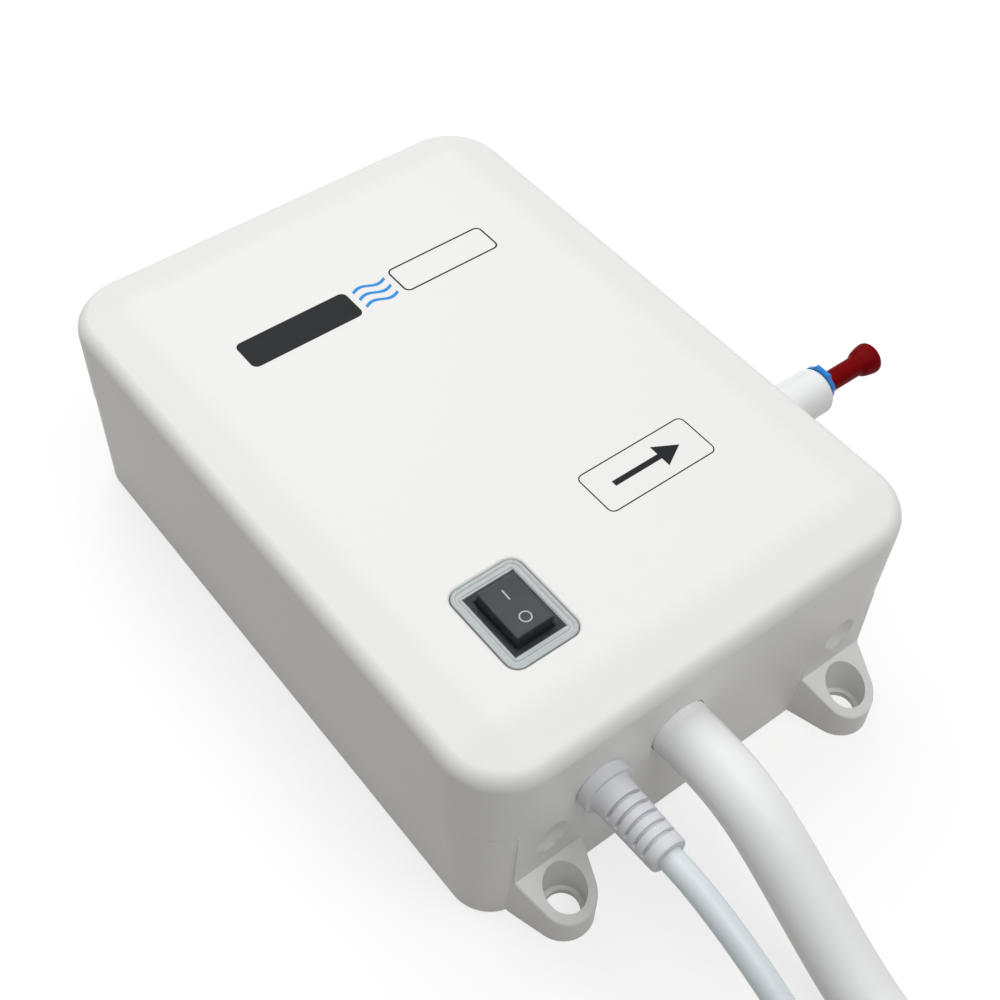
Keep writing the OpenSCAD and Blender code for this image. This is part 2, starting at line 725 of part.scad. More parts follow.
module mains_strain_relief() color(SLEEVE) at_gland() difference() {
  union() {
    translate([0, 0, -wall - port_gap - gland_lock_t]) cylinder(h = gland_lock_t, r = gland_collar_r);
    translate([0, 0, -wall - 2 * port_gap]) cylinder(h = wall + 4 * port_gap, r = gland_neck_r);
    translate([0, 0, port_gap]) cylinder(h = gland_collar_t - port_gap, r = gland_collar_r);
    translate([0, 0, gland_collar_t - eps])
      cylinder(h = gland_len - gland_collar_t + eps, r1 = gland_sleeve_r, r2 = gland_tip_r);
  }
  for (i = [0 : slot_rows - 1]) sleeve_slot(slot_first + i * slot_pitch);
}

module mains_cord() color(CORD) swept_tube(mains_path, cord_r, cord_sides, FORWARD, coil_heading(MAINS, 0));

module mains_coil() color(CORD) swept_coil(MAINS);

module mains_tail() color(CORD)
  swept_tube(mains_tail_path, cord_r, cord_sides, coil_heading(MAINS, coil_end(MAINS)), FORWARD);

// Turn counts at which a coil passes one angle
function coil_passes(c, angle) =
  let (t = (angle - get(c, "start")) * get(c, "turn") / 360, first = t - floor(t))
  [for (k = [0 : coil_end(c)]) if (first + k < coil_end(c)) first + k];

// A flat band round the turns of a coil, at one angle
module coil_tie(c, angle) {
  r = get(c, "d") / 2 + tie_gap;
  radii = [for (t = coil_passes(c, angle)) coil_radius(c, t)];
  levels = [for (t = coil_passes(c, angle)) coil_level(c, t)];
  o = get(c, "centre");
  translate([o[0], o[1], 0]) rotate(angle) difference() {
    box(min(radii) - r - tie_t, max(radii) + r + tie_t, -tie_w / 2, tie_w / 2, min(levels) - r - tie_t,
      max(levels) + r + tie_t);
    box(min(radii) - r, max(radii) + r, -tie_w, tie_w, min(levels) - r, max(levels) + r);
  }
}

module mains_tie() color(BLACK) coil_tie(MAINS, 160);

plug_at = MAINS_TAIL[len(MAINS_TAIL) - 1];

module mains_plug() color(WHITE) translate(plug_at) rotate([90, 0, 0]) rotate_extrude()
  polygon([[0, 0], [plug_neck_r, 0], [plug_neck_r + lip, plug_neck], [plug_grip_r, plug_grip],
    [plug_r - 3 * lip, plug_face - 2 * lip], [plug_r, plug_face], [plug_r, plug_body - lip],
    [plug_r - lip, plug_body], [0, plug_body]]);

module plug_pins() color(STEEL) translate(plug_at) rotate([90, 0, 0]) for (s = [-1, 1])
  translate([s * pin_pitch / 2, 0, plug_body]) cylinder(h = pin_len, r = pin_r);

// Suction hose

module hose_inner() color(WHITE) difference() {
  rod_y(hose_x, port_z, front_y - hose_out, y_head - 0.5, hose_r);
  rod_y(hose_x, port_z, front_y - hose_out - cut, y_head, hose_bore_r);
}

clamp_w = 9;
clamp_y = y_head - 13;

module hose_clamp() color(STEEL) difference() {
  union() {
    rod_y(hose_x, port_z, clamp_y, clamp_y + clamp_w, hose_r + 1.1);
    box(hose_x - hose_r - 6, hose_x - hose_r, clamp_y + 0.5, clamp_y + clamp_w - 0.5, port_z - 5, port_z + 5);
  }
  rod_y(hose_x, port_z, clamp_y - cut, clamp_y + clamp_w + cut, hose_r + 0.05);
}

module suction_hose() color(WHITE) swept_tube(hose_path, hose_r, cord_sides, FORWARD, coil_heading(HOSE, 0));

module hose_coil() color(WHITE) swept_coil(HOSE);

module hose_tail() color(WHITE)
  swept_tube(hose_tail_path, hose_r, cord_sides, coil_heading(HOSE, coil_end(HOSE)), FORWARD);

module hose_tie() color(BLACK) coil_tie(HOSE, -40);

intake_at = HOSE_TAIL[len(HOSE_TAIL) - 1];
intake_slots = 8;

module intake_strainer() color(GREY) translate(intake_at) rotate([90, 0, 0]) difference() {
  rotate_extrude() polygon([[0, 0], [intake_rim_r, 0], [intake_rim_r, intake_rim],
    [hose_r - lip, intake_rim + 2 * lip],
    [hose_r - lip, intake_len - intake_nose], [hose_r - intake_nose, intake_len], [0, intake_len]]);
  translate([0, 0, intake_slot_z]) cylinder(h = intake_slot_l, r = hose_r - lip - intake_wall);
  for (k = [0 : intake_slots - 1]) rotate(360 * k / intake_slots)
    translate([0, -intake_slot_w / 2, intake_slot_z + lip])
      cube([2 * hose_r, intake_slot_w, intake_slot_l - 2 * lip]);
}

// Outlet

module at_outlet() translate([half_w, outlet_y, port_z]) rotate([0, 90, 0]) children();

module outlet_fitting() color(WHITE) at_outlet() {
  back = -wall - nut_t - thread_end;
  bore = tube_r + 0.075;
  rotate_extrude() polygon([[throat_r, back - tail_len], [tail_r, back - tail_len], [tail_r, back],
    [thread_r, back], [thread_r, 0], [shoulder_r, 0], [shoulder_r, shoulder_t], [barrel_r, shoulder_t],
    [barrel_r, barrel_len - lip], [barrel_r - lip, barrel_len], [sleeve_r + collet_gap, barrel_len],
    [sleeve_r + collet_gap, collet_z], [seal_r, collet_z], [seal_r, seal_z], [bore, seal_z], [bore, socket_z],
    [throat_r, socket_z]]);
}

module outlet_nut() color(WHITE) at_outlet() translate([0, 0, -wall - nut_t]) difference() {
  cylinder(h = nut_t, r = nut_r, $fn = 6);
  translate([0, 0, -cut]) cylinder(h = nut_t + 2 * cut, r = thread_r + 0.05);
}

module outlet_seal() color(BLACK) at_outlet() translate([0, 0, (seal_z + collet_z) / 2]) rotate_extrude()
  translate([tube_r + 1.3, 0]) circle(1.1);

module outlet_collet() color(WHITE) at_outlet() difference() {
  union() {
    translate([0, 0, collet_z + 1]) cylinder(h = barrel_len - collet_z - 1, r = sleeve_r);
    translate([0, 0, barrel_len - eps]) cylinder(h = flange_z - barrel_len + 2 * eps, r = neck_r);
    translate([0, 0, flange_z]) cylinder(h = flange_t, r = flange_r);
  }
  translate([0, 0, collet_z]) cylinder(h = head_end, r = tube_r + 0.075);
}

// A fork that holds the collet out, open downwards, with a pull tab on top
module collet_clip() color(BLUE) at_outlet() translate([0, 0, clip_z]) linear_extrude(clip_t) difference() {
  union() {
    intersection() {
      circle(barrel_r);
      square([2 * barrel_r, 2 * clip_half], center = true);
    }
    translate([-barrel_r - tab_rise, -tab_w / 2]) square([tab_rise + lip, tab_w]);
  }
  circle(neck_r + clip_gap);
  translate([0, -neck_r - clip_gap]) square([2 * barrel_r, 2 * (neck_r + clip_gap)]);
}

module outlet_plug() color([0.45, 0.02, 0.05]) at_outlet() rotate_extrude() polygon([[0, socket_z + lip / 2],
  [tube_r - lip / 2, socket_z + lip / 2], [tube_r, socket_z + 1.5 * lip], [tube_r, stem_end],
  [tube_r + 0.4 * lip, stem_end + 1.2 * lip], [plug_head_r - 0.3 * lip, stem_end + 2.6 * lip],
  [plug_head_r, stem_end + 3.4 * lip], [plug_head_r, head_end - lip],
  [plug_head_r - 0.3 * lip, head_end - 0.3 * lip], [plug_head_r - lip, head_end], [0, head_end]]);

module outlet_tube() color([0.9, 0.93, 0.95]) difference() {
  x0 = pump_x + pump_w / 2 + tube_gap;
  x1 = half_w - wall - nut_t - thread_end - tube_gap;
  rod_x(x0, x1, outlet_y, port_z, outlet_tube_r);
  rod_x(x0 - cut, x1 + cut, outlet_y, port_z, outlet_tube_bore);
}

// Pump

module at_pump(y) translate([pump_x, y, pump_z]) rotate([-90, 0, 0]) children();

module pump_slice(t) linear_extrude(t) rounded_rect(pump_w, pump_w, pump_r);

module at_head_screws() for (sx = [-1, 1], sy = [-1, 1])
  translate([sx * head_screw, sy * head_screw, 0]) children();

module at_pistons() for (k = [0 : 2]) rotate(120 * k + 90) translate([piston_pitch, 0, 0]) children();

module pump_head() color(BLACK) difference() {
  union() {
    at_pump(y_head) pump_slice(head_t);
    rod_y(hose_x, port_z, y_head - barb_len, y_head + eps, hose_bore_r - barb_gap);
    rod_x(pump_x, pump_x + pump_w / 2 + stub_len, outlet_y, port_z, outlet_tube_bore - barb_gap);
  }
  at_pump(y_valve - chamber_d) cylinder(h = chamber_d + cut, r = chamber_r);
  at_pump(y_valve - chamber_d) difference() {
    cylinder(h = chamber_d + cut, r = annulus_out);
    translate([0, 0, -cut]) cylinder(h = chamber_d + 3 * cut, r = annulus_in);
  }
  rod_y(hose_x, port_z, y_head - barb_len - cut, y_valve - chamber_d / 2, hose_bore_r - 1.8);
  rod_x(pump_x, pump_x + pump_w, outlet_y, port_z, throat_r);
  at_pump(y_head - cut) at_head_screws() cylinder(h = head_t + 2 * cut, r = head_screw_r + 0.1);
}

head_screw_len = head_t + valve_t + diaphragm_t + 14;

module head_screws() color(STEEL) at_pump(y_head) at_head_screws() {
  translate([0, 0, -3]) cylinder(h = 3, r = 3.8);
  translate([0, 0, -eps]) cylinder(h = head_screw_len, r = head_screw_r);
}

module valve_plate() color([0.82, 0.82, 0.8]) at_pump(y_valve) difference() {
  pump_slice(valve_t);
  at_pistons() {
    translate([0, 0, valve_t - recess_d]) cylinder(h = recess_d + cut, r = cell_r);
    translate([0, 0, -cut]) cylinder(h = valve_t + 2 * cut, r = stem_r + run_gap);
    for (k = [0 : 2]) rotate(120 * k) translate([2.6, 0, -cut]) cylinder(h = valve_t + 2 * cut, r = 0.9);
    translate([outlet_pitch - piston_pitch, 0, -cut]) cylinder(h = valve_t + 2 * cut, r = 0.9);
  }
  translate([0, 0, -cut]) cylinder(h = valve_t + 2 * cut, r = stem_r + run_gap);
  at_head_screws() translate([0, 0, -cut]) cylinder(h = valve_t + 2 * cut, r = head_screw_r + 0.1);
}

module inlet_valves() color(BLACK) at_pump(y_valve) at_pistons() {
  translate([0, 0, valve_t - recess_d]) cylinder(h = flap_t, r = flap_r);
  translate([0, 0, flap_t]) cylinder(h = valve_t - recess_d, r = stem_r);
}

module outlet_valve() color(BLACK) at_pump(y_valve) {
  translate([0, 0, -flap_t]) cylinder(h = flap_t, r = dome_r);
  translate([0, 0, -eps]) cylinder(h = valve_t - flap_t, r = stem_r);
}

module diaphragm() color([0.2, 0.2, 0.21]) at_pump(y_diaphragm) difference() {
  pump_slice(diaphragm_t);
  at_head_screws() translate([0, 0, -cut]) cylinder(h = diaphragm_t + 2 * cut, r = head_screw_r + 0.1);
}

module drive_housing() color([0.3, 0.31, 0.33]) at_pump(y_drive) difference() {
  pump_slice(drive_l);
  translate([0, 0, -cut]) cylinder(h = drive_l - drive_wall + cut, r = drive_bore_r);
  cylinder(h = drive_l + cut, r = bush_r);
  at_head_screws() translate([0, 0, -cut]) cylinder(h = 14 + 2 * cut, r = head_screw_r + 0.1);
}

// The wobble plate and its bearing run on a journal tilted about X, with its centre on the shaft axis
module at_wobble() translate([pump_x, y_wobble, pump_z]) rotate([wobble_tilt - 90, 0, 0]) children();

module wobble_plate() color(GREY) at_wobble() {
  difference() {
    translate([0, 0, -plate_t / 2]) cylinder(h = plate_t, r = piston_edge + plate_rim);
    translate([0, 0, -plate_t]) cylinder(h = 2 * plate_t, r = bearing_r);
  }
  at_pistons() translate([0, 0, piston_top - y_wobble]) cylinder(h = y_wobble - piston_top, r = piston_r);
}

module wobble_bearing() color(STEEL) at_wobble() difference() {
  translate([0, 0, -bearing_w / 2]) cylinder(h = bearing_w, r = bearing_r);
  translate([0, 0, -bearing_w]) cylinder(h = 2 * bearing_w, r = journal_r + run_gap);
}

module wobble_hub() color(STEEL) difference() {
  union() {
    at_wobble() translate([0, 0, -journal_front]) cylinder(h = journal_front + hub_step + lip, r = journal_r);
    rod_y(pump_x, pump_z, y_wobble + hub_step, y_motor - bush_l - hub_gap, hub_collar_r);
  }
  rod_y(pump_x, pump_z, y_wobble - 2 * bearing_w, y_motor, shaft_r);
}

module motor_shaft() color(STEEL) rod_y(pump_x, pump_z, shaft_front, shaft_end, shaft_r);

module armature() color([0.45, 0.3, 0.2]) at_pump(armature_y) difference() {
  cylinder(h = armature_l, r = armature_r);
  translate([0, 0, -cut]) cylinder(h = armature_l + 2 * cut, r = shaft_r);
  for (k = [0 : 11]) rotate(30 * k) translate([armature_r - 3, -1, -cut]) cube([5, 2, armature_l + 2 * cut]);
}

module commutator() color(BRASS) at_pump(commutator_y) difference() {
  cylinder(h = commutator_l, r = commutator_r);
  translate([0, 0, -cut]) cylinder(h = commutator_l + 2 * cut, r = shaft_r);
}

module motor_can() color(BLACK) at_pump(y_motor) difference() {
  cylinder(h = motor_l, r = motor_r);
  translate([0, 0, -cut]) cylinder(h = motor_l + 2 * cut, r = motor_r - can_t);
}

magnet_arc = 130;

module motor_magnets() color(GREY) at_pump(magnet_y) for (turn = [0, 180]) rotate(turn - magnet_arc / 2)
  rotate_extrude(angle = magnet_arc) translate([motor_r - can_t - magnet_t, 0])
    square([magnet_t, armature_l + 2 * coil_step]);

brush_w = 6;
brush_arm = 4;
brush_side = 2;
brush_end = motor_r - can_t - brush_arm - brush_side - 1;

module carbon_brushes() color([0.15, 0.15, 0.16]) at_pump(commutator_y) difference() {
  translate([-brush_end, -brush_w / 2, (commutator_l - brush_w) / 2]) cube([2 * brush_end, brush_w, brush_w]);
  translate([0, 0, -cut]) cylinder(h = commutator_l + 2 * cut, r = commutator_r + run_gap);
}

module end_cap() color(BLACK) at_pump(y_cap) difference() {
  union() {
    cylinder(h = end_cap_t, r = motor_r);
    for (s = [-1, 1]) translate([s * (brush_end + brush_arm / 2) - brush_arm / 2, -brush_w / 2 - brush_side,
      commutator_y - y_cap]) cube([brush_arm, brush_w + 2 * brush_side, y_cap - commutator_y + eps]);
  }
  translate([0, 0, -cut]) cylinder(h = end_cap_t + 2 * cut, r = bush_r);
}

module bush(y) color(BRASS) at_pump(y) difference() {
  cylinder(h = bush_l, r = bush_r);
  translate([0, 0, -cut]) cylinder(h = bush_l + 2 * cut, r = shaft_r + run_gap);
}

module front_bush() bush(y_motor - bush_l);

module rear_bush() bush(y_cap);

saddle_inset = 18;
saddle_w = 8;
saddle_h = 9;
saddle_l = 40;

module pump_foot() color(STEEL) difference() {
  union() {
    box(pump_x - foot_w / 2, pump_x + foot_w / 2, foot_y0, foot_y1, foot_z, foot_z + foot_t);
    for (y = [foot_y0 + saddle_inset, foot_y1 - saddle_inset - saddle_w])
      translate([pump_x - saddle_l / 2, y, foot_z + foot_t - eps]) cube([saddle_l, saddle_w, saddle_h]);
  }
  rod_y(pump_x, pump_z, foot_y0 - cut, foot_y1 + cut, motor_r + foot_fit);
  for (p = GROMMETS) translate([p[0], p[1], foot_z - cut])
    cylinder(h = foot_t + 2 * cut, r = grommet_neck_r + run_gap);
}

module foot_grommets() color(BLACK) for (p = GROMMETS) translate([p[0], p[1], foot_z - grommet_t])
  difference() {
  union() {
    cylinder(h = grommet_t, r = grommet_r);
    cylinder(h = 2 * grommet_t + foot_t, r = grommet_neck_r);
    translate([0, 0, grommet_t + foot_t]) cylinder(h = grommet_t, r = grommet_r);
  }
  translate([0, 0, -cut]) cylinder(h = 3 * grommet_t + foot_t, r = screw_r + 0.1);
}

module foot_screws() color(STEEL) for (p = GROMMETS) translate([p[0], p[1], foot_z + foot_t + grommet_t]) {
  cylinder(h = 2, r = 3.6);
  mirror([0, 0, 1]) cylinder(h = 2 * grommet_t + foot_t + grommet_post + 1.5, r = screw_r);
}

sensor_x = pump_x + 12;
sensor_z = pump_z - 10;
sensor_r = 10;
sensor_t = 12;
sensor_cap_r = 7.5;
sensor_cap_t = 8;
blade_w = 4.8;
blade_t = 0.8;
blade_l = 7;
blade_pitch = 6;

module pressure_switch() color([0.75, 0.2, 0.15]) translate([sensor_x, y_head, sensor_z]) rotate([90, 0, 0]) {
  cylinder(h = sensor_t, r = sensor_r);
  translate([0, 0, sensor_t - eps]) cylinder(h = sensor_cap_t, r = sensor_cap_r);
  for (s = [-0.5, 0.5])
    translate([s * blade_pitch - blade_t / 2, -blade_w / 2, sensor_t + sensor_cap_t - 2 * eps])
      cube([blade_t, blade_w, blade_l]);
}

// Control board

module control_board() color([0.1, 0.4, 0.25]) difference() {
  translate([board_x, board_y, board_z]) cube([board_w, board_l, board_t]);
  for (p = BOARD_HOLES) translate([p[0], p[1], board_z - cut])
    cylinder(h = board_t + 2 * cut, r = screw_hole_r);
}

module board_screws() color(STEEL) for (p = BOARD_HOLES) translate([p[0], p[1], board_z + board_t]) {
  cylinder(h = 1.8, r = 3);
  mirror([0, 0, 1]) cylinder(h = board_t + board_rise, r = screw_r);
}

// A place on the board, measured from its front left corner
module on_board(x, y) translate([board_x + x, board_y + y, board_z + board_t]) children();

// Places and sizes of the board's parts
rectifier_at = [10, 10];
rectifier_size = [19, 4, 15];
capacitor_at = [20, 32];
capacitor_r = 9;
capacitor_h = 30;
crimp_z = 3;
crimp_r = 1;
relay_at = [9, 46];
relay_size = [19, 15.5, 15.5];

module rectifier() color(BLACK) on_board(rectifier_at[0], rectifier_at[1]) cube(rectifier_size);

module capacitor() color([0.15, 0.2, 0.4]) on_board(capacitor_at[0], capacitor_at[1]) difference() {
  cylinder(h = capacitor_h, r = capacitor_r);
  translate([0, 0, crimp_z]) rotate_extrude() translate([capacitor_r + crimp_r / 2, 0]) circle(crimp_r);
}

module relay() color([0.15, 0.35, 0.6]) on_board(relay_at[0], relay_at[1]) cube(relay_size);

terminal_back = 34;
terminal_at = [board_x + 6, board_y - terminal_back, floor_t];
terminal_size = [30, 20, 16];
terminal_pitch = 10;
terminal_r = 2;
terminal_wire_z = 6;
terminal_screw_z = 9;

module terminal_block() color(WHITE) translate(terminal_at) difference() {
  cube(terminal_size);
  for (k = [0 : 2]) translate([(k + 0.5) * terminal_pitch, 0, 0]) {
    translate([0, terminal_size[1] / 2, terminal_screw_z]) cylinder(h = terminal_size[2], r = terminal_r);
    rod_y(0, terminal_wire_z, -cut, terminal_size[1] + cut, terminal_r);
  }
}

base_tray();
top_cover();
cover_screws();
switch_body();
switch_rocker();
switch_boot();
mains_strain_relief();
mains_cord();
mains_coil();
mains_tail();
mains_tie();
mains_plug();
plug_pins();
hose_inner();
hose_clamp();
suction_hose();
hose_coil();
hose_tail();
hose_tie();
intake_strainer();
outlet_fitting();
outlet_nut();
outlet_seal();
outlet_collet();
collet_clip();
outlet_plug();
outlet_tube();
pump_head();
head_screws();
valve_plate();
inlet_valves();
outlet_valve();
diaphragm();
drive_housing();
wobble_plate();
wobble_bearing();
wobble_hub();
motor_shaft();
armature();
commutator();
motor_can();
motor_magnets();
carbon_brushes();
end_cap();
front_bush();
rear_bush();
pump_foot();
foot_grommets();
foot_screws();
pressure_switch();
control_board();
board_screws();
rectifier();
capacitor();
relay();
terminal_block();
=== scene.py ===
"""Looks of a bottled water pump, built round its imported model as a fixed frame."""

import math
from contextlib import contextmanager

import bmesh
import bpy
from bpy.props import FloatProperty, FloatVectorProperty, IntProperty, PointerProperty
from mathutils import Matrix, Vector


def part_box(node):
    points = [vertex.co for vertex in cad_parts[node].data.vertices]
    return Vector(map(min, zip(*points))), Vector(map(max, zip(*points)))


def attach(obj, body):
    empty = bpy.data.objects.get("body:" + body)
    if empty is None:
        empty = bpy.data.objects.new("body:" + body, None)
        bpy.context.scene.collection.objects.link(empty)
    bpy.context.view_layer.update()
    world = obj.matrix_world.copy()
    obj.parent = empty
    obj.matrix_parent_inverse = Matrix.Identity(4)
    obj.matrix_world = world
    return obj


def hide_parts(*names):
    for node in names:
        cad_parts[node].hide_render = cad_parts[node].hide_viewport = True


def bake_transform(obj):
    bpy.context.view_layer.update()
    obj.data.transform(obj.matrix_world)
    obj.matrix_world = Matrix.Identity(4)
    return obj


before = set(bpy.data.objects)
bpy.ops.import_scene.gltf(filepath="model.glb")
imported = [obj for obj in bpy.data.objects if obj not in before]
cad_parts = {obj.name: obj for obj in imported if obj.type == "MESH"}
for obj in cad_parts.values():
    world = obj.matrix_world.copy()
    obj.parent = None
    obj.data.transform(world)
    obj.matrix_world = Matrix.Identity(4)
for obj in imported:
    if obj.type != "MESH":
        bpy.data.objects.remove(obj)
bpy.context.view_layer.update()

bl_info = {
    "name": "Bottled water pump",
    "version": (1, 0, 0),
    "blender": (4, 5, 0),
    "location": "3D View > Sidebar > Water pump",
    "description": "Builds the housing, switch, fittings, cords and stage of a bottled water pump",
    "category": "Object",
}

MM = 0.001
COVER_LOW, COVER_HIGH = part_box("top_cover")
BODY_W = COVER_HIGH.x - COVER_LOW.x
BODY_L = 2 * COVER_HIGH.y
OUT_X = Vector((1, 0, 0))
OUT_FRONT = Vector((0, -1, 0))
UP = Vector((0, 0, 1))


def linear(code):
    """Turns an sRGB hex value into a linear colour."""
    parts = [int(code[i:i + 2], 16) / 255 for i in (1, 3, 5)]
    return [c / 12.92 if c <= 0.04045 else ((c + 0.055) / 1.055) ** 2.4 for c in parts]


# Sizes and colours


class HousingSizes(bpy.types.PropertyGroup):
    """Sizes of the cover, the base and its mounting ears."""

    width: FloatProperty(
        name="Width", description="Width of the cover across its side walls", default=BODY_W, unit="LENGTH")
    length: FloatProperty(
        name="Length", description="Length of the cover between its end walls", default=BODY_L, unit="LENGTH")
    height: FloatProperty(
        name="Height", description="Height of the flat top", default=COVER_HIGH.z, unit="LENGTH")
    seam: FloatProperty(
        name="Seam", description="Height of the seam under the cover", default=COVER_LOW.z, unit="LENGTH")
    corner: FloatProperty(
        name="Corner", description="Radius of the upright corners", default=18 * MM, unit="LENGTH")
    wall: FloatProperty(
        name="Wall", description="Wall thickness of the cover", default=2.5 * MM, unit="LENGTH")
    border: FloatProperty(
        name="Border", description="Width of the sloping border round the top",
        default=15 * MM, unit="LENGTH")
    fall: FloatProperty(
        name="Fall", description="Fall of the sloping border", default=4 * MM, unit="LENGTH")
    rim: FloatProperty(
        name="Rim", description="Rounding between border and walls", default=5 * MM, unit="LENGTH")
    crest: FloatProperty(
        name="Crest", description="Rounding between border and flat top", default=20 * MM, unit="LENGTH")
    step: FloatProperty(
        name="Step", description="Step of the base behind the cover", default=0.8 * MM, unit="LENGTH")
    draft: FloatProperty(
        name="Draft", description="Draft of the base down to its underside", default=2 * MM, unit="LENGTH")
    lean: FloatProperty(
        name="Lean", description="Lean of the cover's walls down to the seam",
        default=0.55 * MM, unit="LENGTH")
    foot_corner: FloatProperty(
        name="Foot corner", description="Radius of the corners at the underside",
        default=12 * MM, unit="LENGTH")
    ear_pitch: FloatProperty(
        name="Ear pitch", description="Distance between ear holes across", default=102 * MM, unit="LENGTH")
    ear_hole: FloatProperty(
        name="Ear hole", description="Radius of an ear's screw hole", default=4.8 * MM, unit="LENGTH")


class CordSizes(bpy.types.PropertyGroup):
    """Sizes of the mains cord and the suction hose."""

    cord_radius: FloatProperty(
        name="Cord radius", description="Radius of the mains cord", default=3.5 * MM, unit="LENGTH")
    hose_radius: FloatProperty(
        name="Hose radius", description="Outer radius of the suction hose", default=8.5 * MM, unit="LENGTH")
    tie_width: FloatProperty(
        name="Tie width", description="Width of the straps round the coils", default=8 * MM, unit="LENGTH")
    slot_rows: IntProperty(
        name="Slot rows", description="Rows of slots along the strain relief", default=5)


class SwitchSizes(bpy.types.PropertyGroup):
    """Place and sizes of the rocker switch under its boot."""

    place: FloatVectorProperty(
        name="Place", description="Middle of the switch on the top",
        default=(-36.4 * MM, -64 * MM, 69.7 * MM), subtype="TRANSLATION")
    bezel: FloatVectorProperty(
        name="Bezel", description="Width, length and thickness of the bezel",
        default=(15.8 * MM, 21 * MM, 1.6 * MM), subtype="XYZ")
    rocker: FloatVectorProperty(
        name="Rocker", description="Width, length and top of the rocker above the bezel",
        default=(11.4 * MM, 16 * MM, 4 * MM), subtype="XYZ")
    boot: FloatVectorProperty(
        name="Boot", description="Width, length and corner radius of the boot's frame",
        default=(21.6 * MM, 27.6 * MM, 3.4 * MM), subtype="XYZ")


class PumpColours(bpy.types.PropertyGroup):
    """Colours of the visible plastics."""

    housing: FloatVectorProperty(
        name="Housing", description="Off-white of the housing", default=linear("#F4F4F2"), subtype="COLOR")
    cord: FloatVectorProperty(
        name="Cord", description="Bluish white of the mains cord", default=linear("#E4EDF2"), subtype="COLOR")
    hose: FloatVectorProperty(
        name="Hose", description="White of the suction hose", default=linear("#FDFEFF"), subtype="COLOR")
    relief: FloatVectorProperty(
        name="Strain relief", description="Grey of the strain relief",
        default=linear("#E2E3E8"), subtype="COLOR")
    rocker: FloatVectorProperty(
        name="Rocker", description="Black of the rocker", default=linear("#1F2228"), subtype="COLOR")
    clip: FloatVectorProperty(
        name="Clip", description="Blue of the locking clip", default=linear("#1E8BE0"), subtype="COLOR")
    plug: FloatVectorProperty(
        name="Outlet plug", description="Red of the outlet plug", default=linear("#7C0208"), subtype="COLOR")


# Tools for modelling

NEAR = 0.01 * MM  # points this close pass as one place
WELD = 0.001 * MM  # the two ends of a spin
SLIVER = 0.02 * MM  # edges this short are left over from cuts
SAME_WAY = 0.95  # least cosine between a face and the way that it looks
FLAT = math.radians(1)  # faces that meet so are one face
SOFT = math.radians(35)  # flatter edges than this are shaded smooth
SHARP = math.radians(40)  # sharper edges than this are eased


def mm(*values):
    """A vector given in millimetres."""
    return Vector(values) * MM


def only(obj):
    """Makes one object selected and active."""
    bpy.ops.object.select_all(action="DESELECT")
    obj.select_set(True)
    bpy.context.view_layer.objects.active = obj


def whole():
    """Selects the whole mesh, in edit mode."""
    bpy.ops.mesh.select_all(action="SELECT")


@contextmanager
def editing(obj):
    """Holds one object in edit mode, with its whole mesh selected."""
    only(obj)
    bpy.ops.object.mode_set(mode="EDIT")
    bpy.ops.mesh.select_mode(type="VERT")
    whole()
    yield
    bpy.ops.object.mode_set(mode="OBJECT")


def pick(obj, kind, test):
    """Selects the vertices, edges or faces that pass a test, in edit mode."""
    bpy.ops.mesh.select_mode(type=kind)
    bpy.ops.mesh.select_all(action="DESELECT")
    mesh = bmesh.from_edit_mesh(obj.data)
    items = {"VERT": mesh.verts, "EDGE": mesh.edges, "FACE": mesh.faces}[kind]
    found = [item for item in items if test(item)]
    if not found:
        raise RuntimeError(f"nothing on {obj.name} passes the test")
    for item in found:
        item.select_set(True)
    mesh.select_flush_mode()
    bmesh.update_edit_mesh(obj.data)


def level(z):
    """A test for edges that lie at one height."""
    return lambda edge: all(abs(v.co.z - z) < NEAR for v in edge.verts)


def facing(direction):
    """A test for faces that look one way."""
    return lambda face: face.normal.dot(direction) > SAME_WAY


def round_edges(obj, test, width, segments):
    """Rounds the edges that pass a test, in edit mode."""
    pick(obj, "EDGE", test)
    bpy.ops.mesh.bevel(offset=width, segments=segments, affect="EDGES")


def inset(width, rise=0):
    """Insets the selected faces and lifts their middle, in edit mode."""
    bpy.ops.mesh.inset(thickness=width)
    bpy.ops.transform.translate(value=(0, 0, rise))


def extrude(move):
    """Extrudes what is selected along a vector, in edit mode."""
    bpy.ops.mesh.extrude_region_move(TRANSFORM_OT_translate={"value": move})


def resize(x, y, centre=(0, 0, 0)):
    """Scales what is selected in X and Y about a point, in edit mode."""
    bpy.ops.transform.resize(value=(x, y, 1), center_override=centre)


def call(obj, name):
    """Gives an object and its mesh one name."""
    obj.name = name
    obj.data.name = name
    return obj


def settled(obj):
    """Puts an object's place, turn and scale into its mesh."""
    only(obj)
    bpy.ops.object.transform_apply(location=True, rotation=True, scale=True)
    return obj


def placed(obj, matrix):
    """Moves an object by a matrix, with its place kept in the mesh."""
    obj.matrix_world = matrix
    return settled(obj)


def turn(obj, angle, axis, centre):
    """Turns an object about an axis through a point, in degrees."""
    spin = Matrix.Rotation(math.radians(angle), 4, axis)
    return placed(obj, Matrix.Translation(centre) @ spin @ Matrix.Translation(-centre))


def block(name, a, b):
    """A box between two corners, given in any order."""
    low = Vector([min(pair) for pair in zip(a, b)])
    high = Vector([max(pair) for pair in zip(a, b)])
    bpy.ops.mesh.primitive_cube_add(size=1, location=(low + high) / 2)
    bpy.context.object.scale = high - low
    return settled(call(bpy.context.object, name))


def rounded_block(name, low, high, corner, segments=8):
    """A box whose upright edges are rounded."""
    obj = block(name, low, high)
    with editing(obj):
        round_edges(obj, lambda e: abs(e.verts[0].co.z - e.verts[1].co.z) > NEAR, corner, segments)
    return obj


